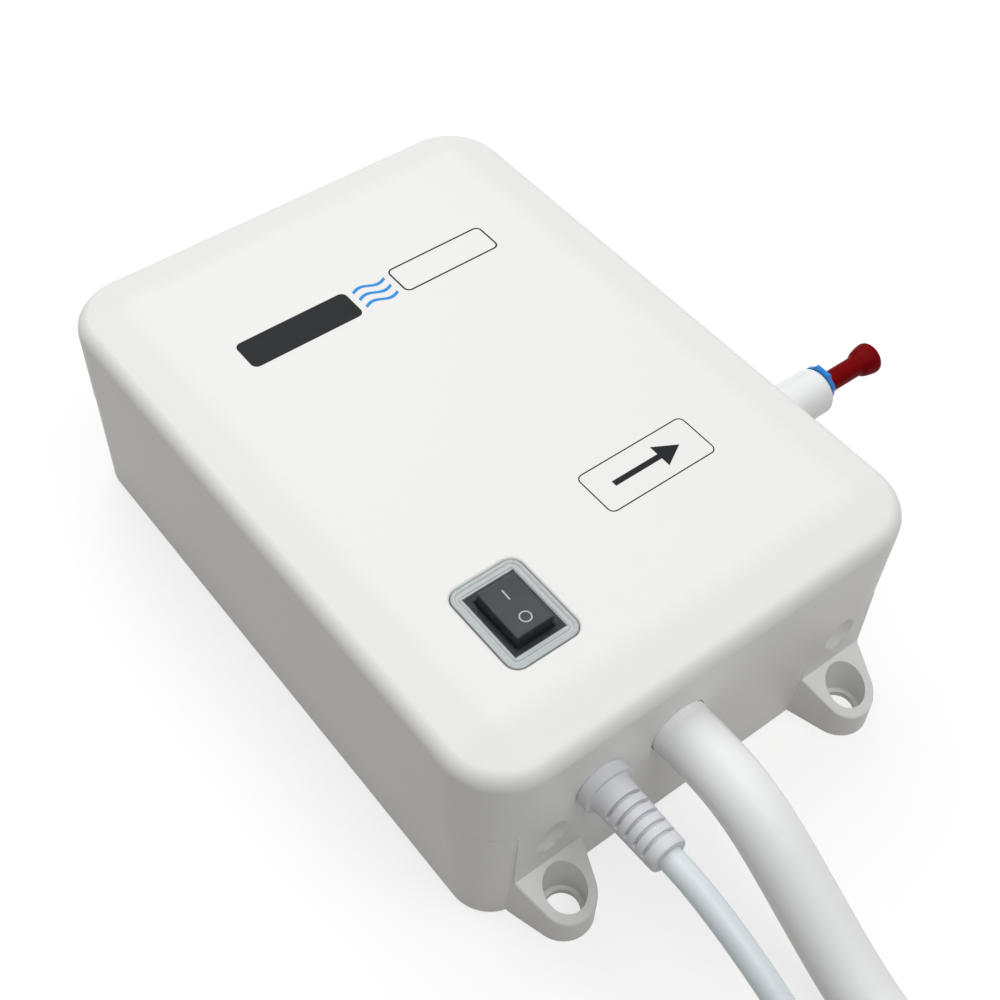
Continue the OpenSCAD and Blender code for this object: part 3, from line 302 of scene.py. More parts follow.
def chain(name, places):
    """A line from place to place, drawn from one vertex."""
    bpy.ops.mesh.primitive_plane_add(size=MM, location=places[0])
    obj = settled(call(bpy.context.object, name))
    with editing(obj):
        bpy.ops.mesh.merge(type="CENTER")
        for here, there in zip(places, places[1:]):
            extrude(there - here)
    return obj


def turned(name, profile, origin, along, side, steps=64, angle=360):
    """A turned piece: points of radius and distance in millimetres, spun about an axis."""
    obj = chain(name, [origin + side * (r * MM) + along * (d * MM) for r, d in profile])
    with editing(obj):
        bpy.ops.mesh.spin(steps=steps, angle=math.radians(angle), center=origin, axis=along)
        whole()
        bpy.ops.mesh.remove_doubles(threshold=WELD)
        if angle < 360:
            bpy.ops.mesh.fill_holes(sides=0)
        bpy.ops.mesh.normals_make_consistent(inside=False)
    return obj


def ring(inner, outer, start, width, lean=0):
    """The closed profile of a ring, in millimetres."""
    end = start + width
    return [(inner, start), (outer, start), (outer, end), (inner + lean, end), (inner, start)]


def arcs(profile, at, starts, sweep, steps):
    """Pieces that run part of the way round an axis to the front, from angles in degrees."""
    sides = [Matrix.Rotation(math.radians(start), 3, OUT_FRONT) @ UP for start in starts]
    return [turned("arc", profile, at, OUT_FRONT, side, steps, sweep) for side in sides]


def plate(name, places, rise):
    """A flat plate with an outline drawn through points, and its thickness upwards."""
    obj = chain(name, places)
    with editing(obj):
        bpy.ops.mesh.edge_face_add()
        extrude((0, 0, rise))
        whole()
        bpy.ops.mesh.normals_make_consistent(inside=False)
    return obj


def rod(name, start, end, radius, steps=64):
    """A round bar between two points on one axis."""
    along = (end - start).normalized()
    side = UP if abs(along.z) < 0.5 else OUT_X
    length, r = (end - start).length / MM, radius / MM
    bar = turned(name, [(0, 0), (r, 0), (r, length), (0, length)], start, along, side, steps)
    with editing(bar):
        bpy.ops.mesh.dissolve_limited(angle_limit=FLAT)
    return bar


def rods(name, places, low, high, radius, steps=32):
    """Upright bars at several places, as one object."""
    return joined([rod(name, at + UP * low, at + UP * high, radius, steps) for at in places], name)


def apply_modifier(obj, kind, **settings):
    """Adds a modifier to an object, sets it and applies it."""
    tool = obj.modifiers.new(kind.lower(), kind)
    for key, value in settings.items():
        setattr(tool, key, value)
    only(obj)
    bpy.ops.object.modifier_apply(modifier=tool.name)


def carve(obj, cutter, operation="DIFFERENCE"):
    """Cuts one solid out of another, or joins it on, and drops the cutter."""
    apply_modifier(obj, "BOOLEAN", operation=operation, object=cutter, solver="EXACT")
    bpy.data.objects.remove(cutter)


def joined(pieces, name):
    """Makes one object of several that don't touch."""
    only(pieces[0])
    for piece in pieces:
        piece.select_set(True)
    bpy.ops.object.join()
    return call(pieces[0], name)


def copied(obj, name):
    """A copy of an object with its own mesh."""
    copy = obj.copy()
    copy.data = obj.data.copy()
    bpy.context.collection.objects.link(copy)
    return call(copy, name)


def cleaned(obj):
    """Takes out the slivers that cuts and eased edges leave."""
    with editing(obj):
        bpy.ops.mesh.remove_doubles(threshold=SLIVER)
        bpy.ops.mesh.dissolve_degenerate(threshold=SLIVER)


def declared(obj, nodes=(), body="housing"):
    """Says which body a piece has, and hides the nodes that it stands for."""
    if body:
        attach(obj, body)
    if nodes:
        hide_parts(*nodes)


def dressed(obj, material, nodes=(), body="housing", edge=0, segments=2):
    cleaned(obj)
    if edge:
        apply_modifier(obj, "BEVEL", width=edge, segments=segments, limit_method="ANGLE",
                       angle_limit=SHARP, use_clamp_overlap=True)
        cleaned(obj)
    only(obj)
    bpy.ops.object.shade_smooth_by_angle(angle=SOFT)
    apply_modifier(obj, "WEIGHTED_NORMAL", keep_sharp=True)
    obj.data.materials.clear()
    obj.data.materials.append(material)
    declared(obj, nodes, body)


# Materials

PLASTIC_SWING, METAL_SWING = 0.05, 0.08  # how far a pattern moves the roughness
METAL_SPREAD = (0.9, 1.08)  # darkest and lightest share of a metal's colour


def add(tree, kind, settings=None, inputs=None):
    """Adds a node to a tree, sets it, and fills or links its inputs."""
    node = tree.nodes.new(kind)
    for key, value in (settings or {}).items():
        setattr(node, key, value)
    for key, value in (inputs or {}).items():
        if isinstance(value, bpy.types.NodeSocket):
            tree.links.new(value, node.inputs[key])
        else:
            node.inputs[key].default_value = value
    return node


def rgba(colour):
    """A linear colour with full cover."""
    return [*colour, 1]


def tinted(colour, share):
    """A colour made lighter or darker by a share."""
    return [min(c * share, 1) for c in colour]


def new_material(name):
    """A new material and its empty node tree."""
    material = bpy.data.materials.new(name)
    material.use_nodes = True
    material.node_tree.nodes.clear()
    return material, material.node_tree


def surfaced(tree, colour, spread, rough, swing, cloud, skin, depth, shader):
    """Ends a tree in a surface: one pattern moves its tone and gloss, and one is its relief."""
    dark, light = (rgba(tinted(colour, share)) for share in spread)
    tone = add(tree, "ShaderNodeMix", {"data_type": "RGBA"}, {"Factor": cloud, "A": dark, "B": light})
    gloss = add(tree, "ShaderNodeMapRange", inputs={
        "Value": cloud, "To Min": rough - swing, "To Max": rough + swing})
    relief = add(tree, "ShaderNodeBump", inputs={"Height": skin, "Distance": depth * MM, "Strength": 1.0})
    surface = add(tree, "ShaderNodeBsdfPrincipled", inputs={
        "Base Color": tone.outputs["Result"], "Roughness": gloss.outputs["Result"],
        "Normal": relief.outputs["Normal"], **shader})
    add(tree, "ShaderNodeOutputMaterial", inputs={"Surface": surface.outputs["BSDF"]})


def moulded(name, colour, rough, grain, depth, cloud, spread, shader=None):
    """A moulded plastic or rubber: a grain in millimetres, soft clouds of tone, and uneven gloss."""
    material, tree = new_material(name)
    place = add(tree, "ShaderNodeTexCoord").outputs["Object"]
    clouds = add(tree, "ShaderNodeTexNoise", inputs={
        "Vector": place, "Scale": 1 / (cloud * MM), "Detail": 3.0, "Roughness": 0.55})
    skin = add(tree, "ShaderNodeTexNoise", inputs={
        "Vector": place, "Scale": 1 / (grain * MM), "Detail": 2.0, "Roughness": 0.6})
    surfaced(tree, colour, (1 - spread, 1 + spread), rough, PLASTIC_SWING, clouds.outputs["Fac"],
             skin.outputs["Fac"], depth, shader or {})
    return material


def metal(name, colour, rough, stretch, grain, depth):
    """A metal whose marks run along one axis, at a spacing in millimetres."""
    material, tree = new_material(name)
    place = add(tree, "ShaderNodeTexCoord").outputs["Object"]
    drawn = add(tree, "ShaderNodeMapping", inputs={"Vector": place, "Scale": stretch})
    marks = add(tree, "ShaderNodeTexNoise", inputs={
        "Vector": drawn.outputs["Vector"], "Scale": 1 / (grain * MM), "Detail": 3.0, "Roughness": 0.6})
    surfaced(tree, colour, METAL_SPREAD, rough, METAL_SWING, marks.outputs["Fac"], marks.outputs["Fac"],
             depth, {"Metallic": 1.0})
    return material


def colours():
    """The colours that the user set."""
    return bpy.context.scene.pump_colours


def housing_abs():
    # Moulded ABS with a fine spark-eroded skin: a soft even off-white with a broad dull gloss.
    # The real skin of about 0.05 mm is drawn at 0.35 mm, so that it shows.
    return moulded("housing_abs", colours().housing, 0.42, 0.35, 0.012, 45, 0.008, {
        "IOR": 1.53, "Specular IOR Level": 0.3})


def hose_silicone():
    # Extruded food-grade silicone: white, soft, a little see-through at its edge, with a broad sheen.
    return moulded("hose_silicone", colours().hose, 0.36, 2.5, 0.03, 40, 0.012, {
        "IOR": 1.41, "Subsurface Weight": 0.12, "Subsurface Radius": (0.004, 0.004, 0.004),
        "Subsurface Scale": 0.5})


def pad_print(name, code):
    # Pad-printed ink: an even film with a faint edge to its gloss.
    return moulded(name, linear(code), 0.5, 0.25, 0.004, 3, 0.02, {"Specular IOR Level": 0.2})


# Stage

CAMERA_ANGLES = (-39.12, 49.29, 2.15)  # azimuth, elevation and roll in degrees
CAMERA_DISTANCE = 463.83 * MM
CAMERA_TARGET = mm(0, 0, 43.53)
FLOOR_SIZE = 40
FLOOR_GLOW = 0.7  # with its lit card this is white to the eye
SKY_LIGHT = 0.28
WHITE = rgba(linear("#FFFFFF"))
LAMPS = (  # name, place, aim, size and power
    ("back_lamp", (0.12, 0.7, 1.2), (0, 0, 0), 1.1, 9.6),
    ("front_lamp", (0.1, -0.5, 1.2), (0, -0.1, 0), 0.9, 5.8))


def add_lamp(name, place, aim, size, power):
    """A soft square lamp that looks at a point."""
    bpy.ops.object.light_add(type="AREA", location=place)
    lamp = bpy.context.object
    lamp.name = name
    lamp.data.size = size
    lamp.data.energy = power
    lamp.rotation_euler = (Vector(aim) - Vector(place)).to_track_quat("-Z", "Y").to_euler()


def add_camera():
    """The camera at the photograph's angle."""
    azimuth, elevation, roll = (math.radians(a) for a in CAMERA_ANGLES)
    bpy.ops.object.camera_add()
    camera = bpy.context.object
    camera.name = "camera"
    tilt = Matrix.Rotation(math.pi / 2 - elevation, 4, "X") @ Matrix.Rotation(roll, 4, "Z")
    away = Matrix.Translation(UP * CAMERA_DISTANCE)
    camera.matrix_world = Matrix.Translation(CAMERA_TARGET) @ Matrix.Rotation(azimuth, 4, "Z") @ tilt @ away
    camera.data.sensor_width = 36
    camera.data.lens = 58.28
    camera.data.shift_x = 0.0299
    camera.data.shift_y = -0.0393
    camera.data.clip_start = 0.01
    bpy.context.scene.camera = camera


def studio_floor():
    # Matt white card, lit from below for the eye, so that it is white and keeps a soft shadow.
    # Rays that light the object see a darker card, so that the walls keep their shade.
    material, tree = new_material("studio_card")
    ray = add(tree, "ShaderNodeLightPath")
    seen = add(tree, "ShaderNodeMath", {"operation": "MAXIMUM"}, {
        0: ray.outputs["Is Camera Ray"], 1: ray.outputs["Is Glossy Ray"]})
    seen = add(tree, "ShaderNodeMath", {"operation": "MAXIMUM"}, {
        0: seen.outputs["Value"], 1: ray.outputs["Is Transmission Ray"]})
    dark = add(tree, "ShaderNodeBsdfDiffuse", inputs={"Color": rgba(linear("#9F9B93"))})
    card = add(tree, "ShaderNodeBsdfDiffuse", inputs={"Color": rgba(linear("#A2A2A2"))})
    glow = add(tree, "ShaderNodeEmission", inputs={"Color": WHITE, "Strength": FLOOR_GLOW})
    white = add(tree, "ShaderNodeAddShader", inputs={0: card.outputs["BSDF"], 1: glow.outputs["Emission"]})
    surface = add(tree, "ShaderNodeMixShader", inputs={
        0: seen.outputs["Value"], 1: dark.outputs["BSDF"], 2: white.outputs["Shader"]})
    add(tree, "ShaderNodeOutputMaterial", inputs={"Surface": surface.outputs["Shader"]})
    return material


def studio_sky():
    # Even white sky: white to the eye, and a dim light from all sides.
    world = bpy.data.worlds.new("studio_sky")
    world.use_nodes = True
    tree = world.node_tree
    tree.nodes.clear()
    ray = add(tree, "ShaderNodeLightPath")
    dim = add(tree, "ShaderNodeBackground", inputs={"Color": WHITE, "Strength": SKY_LIGHT})
    bright = add(tree, "ShaderNodeBackground", inputs={"Color": WHITE, "Strength": 1.0})
    sky = add(tree, "ShaderNodeMixShader", inputs={
        0: ray.outputs["Is Camera Ray"], 1: dim.outputs["Background"], 2: bright.outputs["Background"]})
    add(tree, "ShaderNodeOutputWorld", inputs={"Surface": sky.outputs["Shader"]})
    return world


class PUMP_OT_stage(bpy.types.Operator):
    """Sets the camera, the floor, the lamps and the sky"""

    bl_idname = "pump.stage"
    bl_label = "Stage"

    def execute(self, context):
        add_camera()
        bpy.ops.mesh.primitive_plane_add(size=FLOOR_SIZE)
        floor = settled(call(bpy.context.object, "floor"))
        floor.data.materials.append(studio_floor())
        for lamp in LAMPS:
            add_lamp(*lamp)
        context.scene.world = studio_sky()
        context.scene.view_settings.view_transform = "Standard"
        return {"FINISHED"}


# Cords, in millimetres: the coils go in on one layer and out on the next

MAINS_COIL = {"centre": (-86, -225), "start": -20, "turn": -1, "r": 41, "pitch": 7.8, "turns": 1.5,
              "layers": 4, "rise": 7.6, "z": 4.5, "d": 7}
HOSE_COIL = {"centre": (24, -346), "start": 144, "turn": 1, "r": 93, "pitch": 18, "turns": 1.05,
             "layers": 2, "rise": 17.6, "z": 9.5, "d": 17}
MAINS_ROUTE = [
    (-38, -127, 45), (-38, -135, 44.8), (-38, -145, 43), (-38, -155, 40), (-38, -165, 36), (-38, -175, 31),
    (-38, -185, 25), (-38, -195, 18.5), (-38, -205, 12.5), (-39, -214, 8), (-41, -223, 5.2)]
MAINS_TAIL = [
    (-53, -254, 26), (-57, -264, 22), (-62, -273, 16.5), (-68, -282, 11), (-75, -290, 7), (-83, -297, 5),
    (-91, -304, 5.5), (-98, -312, 8), (-103, -321, 12), (-106, -331, 15.8), (-107, -341, 18),
    (-107, -350, 18.5)]
HOSE_ROUTE = [
    (-12, -104, 45), (-12, -112, 45), (-12, -120, 44.5), (-12, -128, 42.4), (-12, -136, 38.6),
    (-12, -144, 33.6), (-12, -152, 28.3), (-12, -160, 23), (-12, -168, 18.2), (-12, -176, 14.2),
    (-12, -185, 11.2), (-12, -195, 9.8), (-13.5, -215, 9.5), (-18.5, -236, 9.5), (-27, -255, 9.5),
    (-33.5, -266, 9.5)]
HOSE_TAIL = [
    (-69, -376, 26), (-69, -388, 22.8), (-69, -400, 17.5), (-69, -412, 12.6), (-69, -424, 10),
    (-69, -434, 9.5)]
TURN_STEPS = 24  # points in a turn of a coil
CLIMB = 0.5  # turns in which a coil climbs to its next layer


def coil_end(coil):
    """Turns in a whole coil."""
    return coil["turns"] * coil["layers"]


def coil_angle(coil, t):
    """Angle of a coil after a number of turns."""
    return math.radians(coil["start"] + coil["turn"] * 360 * t)


def coil_radius(coil, t):
    """Radius of a coil after a number of turns."""
    layer = math.floor(t / coil["turns"])
    run = t - layer * coil["turns"]
    return coil["r"] - coil["pitch"] * (run if layer % 2 == 0 else coil["turns"] - run)


def coil_level(coil, t):
    """Height of a coil after a number of turns."""
    climbs = [min(max((t - k * coil["turns"]) / CLIMB + 0.5, 0), 1) for k in range(1, coil["layers"])]
    return coil["z"] + coil["rise"] * sum(climbs)


def coil_point(coil, t):
    """A point of a coil after a number of turns."""
    (x, y), a, r = coil["centre"], coil_angle(coil, t), coil_radius(coil, t)
    return Vector((x + r * math.cos(a), y + r * math.sin(a), coil_level(coil, t)))


def coil_heading(coil, t):
    """The way that a coil runs after a number of turns."""
    a = coil_angle(coil, t)
    return coil["turn"] * Vector((-math.sin(a), math.cos(a), 0))


def coil_path(coil):
    """The points of a coil, with a short straight run at either end."""
    end = coil_end(coil)
    count = math.ceil(end * TURN_STEPS)
    middle = [coil_point(coil, end * i / count) for i in range(count + 1)]
    return [middle[0] - coil["d"] * coil_heading(coil, 0), *middle,
            middle[-1] + coil["d"] * coil_heading(coil, end)]


def cord_curve(name, points, radius, material):
    """A round cord along points in millimetres, as one smooth open curve, and its length."""
    curve = bpy.data.curves.new(name, "CURVE")
    curve.dimensions = "3D"
    curve.bevel_depth = radius
    curve.bevel_resolution = 8
    curve.resolution_u = 6
    curve.use_fill_caps = True
    line = curve.splines.new("BEZIER")
    line.bezier_points.add(len(points) - 1)
    for knot, point in zip(line.bezier_points, points):
        knot.co = Vector(point) * MM
        knot.handle_left_type = "AUTO"
        knot.handle_right_type = "AUTO"
    curve.materials.append(material)
    cord = bpy.data.objects.new(name, curve)
    bpy.context.collection.objects.link(cord)
    bpy.context.view_layer.update()
    return cord, line.calc_length()


class PUMP_OT_mains_cord(bpy.types.Operator):
    """Lays the mains cord from its strain relief through its coil to its plug"""

    bl_idname = "pump.mains_cord"
    bl_label = "Mains cord"

    def execute(self, context):
        radius = context.scene.pump_cords.cord_radius
        points = [*MAINS_ROUTE, *coil_path(MAINS_COIL), *MAINS_TAIL]
        # Extruded PVC jacket: smooth, slightly waxy, with faint draw marks.
        pvc = moulded("cord_pvc", colours().cord, 0.38, 1.2, 0.02, 25, 0.015, {"IOR": 1.54})
        cord, length = cord_curve("mains_cord_jacket", points, radius, pvc)
        declared(cord, ["mains_cord", "mains_coil", "mains_tail"])
        return {"FINISHED"}


class PUMP_OT_suction_hose(bpy.types.Operator):
    """Lays the suction hose from the front wall through its coil to its intake"""

    bl_idname = "pump.suction_hose"
    bl_label = "Suction hose"

    def execute(self, context):
        radius = context.scene.pump_cords.hose_radius
        points = [*HOSE_ROUTE, *coil_path(HOSE_COIL), *HOSE_TAIL]
        hose, length = cord_curve("suction_hose_wall", points, radius, hose_silicone())
        declared(hose, ["suction_hose", "hose_coil", "hose_tail"])
        return {"FINISHED"}


# Housing

HOSE_PORT = mm(-12, -102, 45)
GLAND_PORT = mm(-38, -102, 45)
OUTLET_PORT = mm(74, -40, 45)
PORTS = (  # middle, way out, radius in the wall and radius behind it
    (HOSE_PORT, OUT_FRONT, 8.7 * MM, 8.7 * MM), (GLAND_PORT, OUT_FRONT, 5.8 * MM, 7.8 * MM),
    (OUTLET_PORT, OUT_X, 6.4 * MM, 10.7 * MM))
PORT_REACH = 10 * MM  # cutters go this far to both sides of a wall
SADDLE_LOW, SADDLE_HIGH, SADDLE_GAP = 6 * MM, 2.5 * MM, 0.2 * MM
ROOF_DROP = 1.4  # the roof's drop inside the shoulder, in walls
TONGUE_IN, TONGUE_HIGH, TONGUE_THICK = 2.5 * MM, 3 * MM, 1.1 * MM
FOOT_EDGE, RECESS_EDGE = 0.8 * MM, 0.7 * MM
RECESS_ROOM = mm(0.8, 0.8, 0.4)  # more than the boot's width, length and corner
RECESS_WALL = 1.6 * MM
SWITCH_HOLE = mm(6.9, 9.5, 5)
COLUMNS = [mm(x, y, 0) for x in (-61, 61) for y in (-89, 89)]
GROMMET_POSTS = [mm(x, y, 0) for x in (-18.5, 34.5) for y in (16, 70)]
BOARD_POSTS = [mm(x, y, 0) for x in (-62, -30) for y in (-4, 76)]
EAR_ROWS = (-107.5 * MM, 107.5 * MM)
EAR_REACH, EAR_HALF, EAR_TIP, EAR_TOP = 8.3, 11.5, 8.6, 17.6  # hole to wall, half width, tip radius, height
EAR_SLOPE = math.radians(28.5)
EAR_BLANK, EAR_EDGE, EAR_STEPS = 25 * MM, 0.6 * MM, 24
PAD_HALF, PAD_IN, PAD_BACK = 11.13 * MM, 0.8 * MM, 2.8 * MM
SCOOP_R, SCOOP_REACH, SCOOP_Z = 14, 8.6, 29 * MM
SCOOP_ANGLES = [math.radians(-65 + 130 * i / 16) for i in range(17)]


def shaped_cover(size):
    """The outer form of the cover and its hollow, before its openings are cut."""
    w, l = size.width / 2, size.length / 2
    slope = math.atan(size.fall / size.border)
    shoulder = size.height - size.fall
    inner = shoulder - ROOF_DROP * size.wall
    cover = rounded_block("cover_shell", (-w, -l, size.seam), (w, l, shoulder), size.corner, 16)
    with editing(cover):
        pick(cover, "FACE", facing(UP))
        inset(size.border, size.fall)
        round_edges(cover, level(size.height), size.crest * math.tan(slope / 2), 6)
        round_edges(cover, level(shoulder), size.rim * math.tan(math.pi / 4 - slope / 2), 8)
        pick(cover, "FACE", facing(-UP))
        inset(size.wall)
        extrude((0, 0, inner - size.seam))
        inset(size.border - size.wall, size.height - size.wall - inner)
        pick(cover, "VERT", lambda v: abs(v.co.z - size.seam) < NEAR)
        resize((w - size.lean) / w, (l - size.lean) / l, (0, 0, size.seam))
    return cover


class PUMP_OT_cover(bpy.types.Operator):
    """Models the cover with its sloping border, switch recess and port slots"""

    bl_idname = "pump.cover"
    bl_label = "Cover"

    def execute(self, context):
        size, switch = context.scene.pump_housing, context.scene.pump_switch
        cover = shaped_cover(size)
        for centre, out, radius, _ in PORTS:
            reach, side = out * PORT_REACH, out.cross(UP) * radius
            down = UP * (centre.z - size.seam + MM)
            carve(cover, rod("bore", centre - reach, centre + reach, radius))
            carve(cover, block("slit", centre - reach - side - down, centre + reach + side))
        at = Vector(switch.place)
        w, l, r = Vector(switch.boot) + RECESS_ROOM
        half = Vector((w, l, 0)) / 2
        rim = half + Vector((RECESS_WALL, RECESS_WALL, 0))
        carve(cover, rounded_block("backing", at - rim - UP * RECESS_WALL, at + rim + UP * 0.5 * MM,
                                   r + RECESS_WALL), "UNION")
        carve(cover, rounded_block("recess", at - half, at + half + UP * 10 * MM, r))
        with editing(cover):
            round_edges(cover, lambda e: level(size.height)(e) and all(
                abs(v.co.x - at.x) < half.x + NEAR and abs(v.co.y - at.y) < half.y + NEAR
                for v in e.verts), RECESS_EDGE, 4)
        carve(cover, block("hole", at - SWITCH_HOLE, at + SWITCH_HOLE))
        dressed(cover, housing_abs(), ["top_cover"], edge=0.3 * MM)
        return {"FINISHED"}


def shaped_tray(size):
    """The base with its draft, tongue and hollow, before its ears and openings."""
    w, l = size.width / 2 - size.step, size.length / 2 - size.step
    corner = size.corner - size.step
    foot = size.foot_corner / corner
    drafted = (w - size.draft) / w, (l - size.draft) / l
    tray = rounded_block("base_shell", (-w, -l, 0), (w, l, size.seam), corner, 16)
    with editing(tray):
        for x, y in ((w, l), (w, -l), (-w, l), (-w, -l)):
            pick(tray, "VERT", lambda v: v.co.z < NEAR and v.co.x * x > 0 and v.co.y * y > 0)
            resize(foot, foot, (x, y, 0))
        pick(tray, "VERT", lambda v: v.co.z < NEAR)
        resize(*drafted)
        round_edges(tray, level(0), FOOT_EDGE, 3)
        pick(tray, "FACE", facing(UP))
        inset(TONGUE_IN)
        extrude((0, 0, TONGUE_HIGH))
        inset(TONGUE_THICK)
        extrude((0, 0, -size.seam))
        resize(*drafted)
    return tray


def shaped_ear():
    """One ear about its own hole, with the wall towards +Y: a sloping top and a round tip."""
    edge = math.atan2(EAR_REACH, EAR_HALF) - math.acos(EAR_TIP / math.hypot(EAR_HALF, EAR_REACH))
    sweep = [edge - (math.pi + 2 * edge) * i / EAR_STEPS for i in range(EAR_STEPS + 1)]
    tip = [(EAR_TIP * math.cos(a), EAR_TIP * math.sin(a)) for a in sweep]
    root = [(x, EAR_REACH + y) for x, y in ((-EAR_HALF, 0), (-EAR_HALF, 2), (EAR_HALF, 2), (EAR_HALF, 0))]
    ear = plate("ear", [mm(x, y, 0) for x, y in (*tip, *root)], EAR_BLANK)
    fall = Vector((0, -math.sin(EAR_SLOPE), math.cos(EAR_SLOPE)))
    ridge = mm(0, EAR_REACH, EAR_TOP)
    with editing(ear):
        bpy.ops.mesh.bisect(plane_co=ridge, plane_no=fall, use_fill=True, clear_outer=True)
        round_edges(ear, lambda e: all(abs((v.co - ridge).dot(fall)) < NEAR for v in e.verts), EAR_EDGE, 3)
    return ear


class PUMP_OT_base(bpy.types.Operator):
    """Models the base with its ears, screwdriver scoops, screw columns and posts"""

    bl_idname = "pump.base"
    bl_label = "Base"

    def execute(self, context):
        size = context.scene.pump_housing
        tray, ear = shaped_tray(size), shaped_ear()
        wall_y = size.length / 2 - size.step
        bowl = [(SCOOP_REACH - SCOOP_R + SCOOP_R * math.cos(a), SCOOP_R * math.sin(a)) for a in SCOOP_ANGLES]
        bowl = [(0, bowl[0][1]), *bowl, (0, bowl[-1][1])]
        places = [Vector((side * size.ear_pitch / 2, y, 0)) for y in EAR_ROWS for side in (-1, 1)]
        ears, pads = [], []
        for at in places:
            out = -1 if at.y < 0 else 1
            facing_out = Matrix.Rotation(0 if out < 0 else math.pi, 4, "Z")
            ears.append(placed(copied(ear, "ear_copy"), Matrix.Translation(at) @ facing_out))
            pads.append(block("pad", (at.x - PAD_HALF, out * (wall_y - PAD_IN), 0),
                              (at.x + PAD_HALF, out * (wall_y - PAD_BACK), size.seam)))
        bpy.data.objects.remove(ear)
        carve(tray, joined(pads, "pads"), "UNION")
        carve(tray, joined(ears, "ears"), "UNION")
        carve(tray, joined([turned("scoop", bowl, at + UP * SCOOP_Z, UP, OUT_X) for at in places], "scoops"))
        carve(tray, rods("recess", places, 2 * MM, 25 * MM, 6 * MM, 64))
        carve(tray, rods("hole", places, -MM, 4 * MM, size.ear_hole, 64))
        carve(tray, joined([rods("post", GROMMET_POSTS, 2 * MM, 5 * MM, 6 * MM),
                            rods("post", BOARD_POSTS, 2 * MM, 9 * MM, 3.5 * MM)], "posts"), "UNION")
        carve(tray, rods("column", COLUMNS, MM, size.seam, 4.5 * MM), "UNION")
        carve(tray, rods("head_room", COLUMNS, -MM, 28.5 * MM, 3.5 * MM))
        carve(tray, rods("shank", COLUMNS, 20 * MM, 45 * MM, 1.75 * MM))
        for centre, out, radius, room in PORTS:
            side, reach = out.cross(UP) * (radius - SADDLE_GAP), out * PORT_REACH
            inner = centre - out * size.wall
            carve(tray, block("saddle", centre - out * size.step - side - UP * SADDLE_LOW,
                              inner + side - UP * SADDLE_HIGH), "UNION")
            carve(tray, rod("bore", centre - reach, centre + reach, radius))
            carve(tray, rod("room", centre - reach, inner, room))
        dressed(tray, housing_abs(), ["base_tray"])
        return {"FINISHED"}


# Switch

ROCKER_TILT = 2
DISH_R, DISH_DEPTH = 106.7 * MM, 0.3 * MM
PIVOT_DROP = 0.4 * MM
PIVOT_REACH, PIVOT_R = 6.6 * MM, 1.2 * MM
KEY_DEEP, KEY_ROWS = 4.5 * MM, 12
BOOT_WINDOW = (8 * MM, 10.6 * MM)  # half width and half length
FRAME_RIBS = ((0.4, 0.25), (0.5, 0), (0.4, -0.3), (0.5, 0), (0.3, 0.3), (0.35, 0), (0.2, -0.2))


def shaped_rocker(size):
    """The rocker about its pivot: a dished top on a square key."""
    w, l, rise = size.rocker
    pivot = Vector(size.place) - UP * PIVOT_DROP
    top = size.bezel[2] + rise + PIVOT_DROP
    half = Vector((w, l, 0)) / 2
    rocker = block("rocker_key", pivot - half - UP * KEY_DEEP, pivot + half + UP * top)
    rows = [pivot.y + l * (i / KEY_ROWS - 0.5) for i in range(KEY_ROWS + 1)]
    with editing(rocker):
        for y in rows[1:-1]:
            whole()
            bpy.ops.mesh.bisect(plane_co=(0, y, 0), plane_no=(0, 1, 0))
        for y in rows:
            dish = DISH_DEPTH - (y - pivot.y) ** 2 / (2 * DISH_R)
            pick(rocker, "VERT", lambda v: abs(v.co.y - y) < NEAR and v.co.z > pivot.z)
            bpy.ops.transform.translate(value=(0, 0, -dish))
    pin = OUT_X * PIVOT_REACH
    carve(rocker, rod("pin", pivot - pin, pivot + pin, PIVOT_R, 32), "UNION")
    return rocker, pivot, pivot.z + top - DISH_DEPTH


def lay_on_dish(mark, offset, face, pivot):
    """Lays a mark on the rocker's dished face and tips it with the rocker."""
    centre = Vector((pivot.x, pivot.y + offset, face + offset ** 2 / (2 * DISH_R)))
    placed(mark, Matrix.Translation(centre))
    turn(mark, math.degrees(offset / DISH_R), "X", centre)
    turn(mark, ROCKER_TILT, "X", pivot)


def shaped_boot(size):
    """The boot: a frame with a raised lip, and a thin dome over the rocker."""
    at = Vector(size.place)
    w, l, r = size.boot
    half = Vector((w, l, 0)) / 2
    boot = rounded_block("switch_boot_skin", at - half, at + half + UP * 2 * MM, r)
    with editing(boot):
        pick(boot, "FACE", facing(UP))
        for width, rise in FRAME_RIBS:
            inset(width * MM, rise * MM)
    top = mm(6.5, 9, 6.8)
    dome = rounded_block("dome", at + mm(-6.5, -9, 0.6), at + top, 1.2 * MM)
    with editing(dome):
        round_edges(dome, level(at.z + top.z), 0.7 * MM, 4)
    carve(boot, dome, "UNION")
    carve(boot, rounded_block("room", at + mm(-8.1, -10.7, -1), at + mm(8.1, 10.7, 1.75), MM))
    carve(boot, rounded_block("room", at + mm(-6, -8.5, 0), at + mm(6, 8.5, 6.4), 0.8 * MM))
    return boot


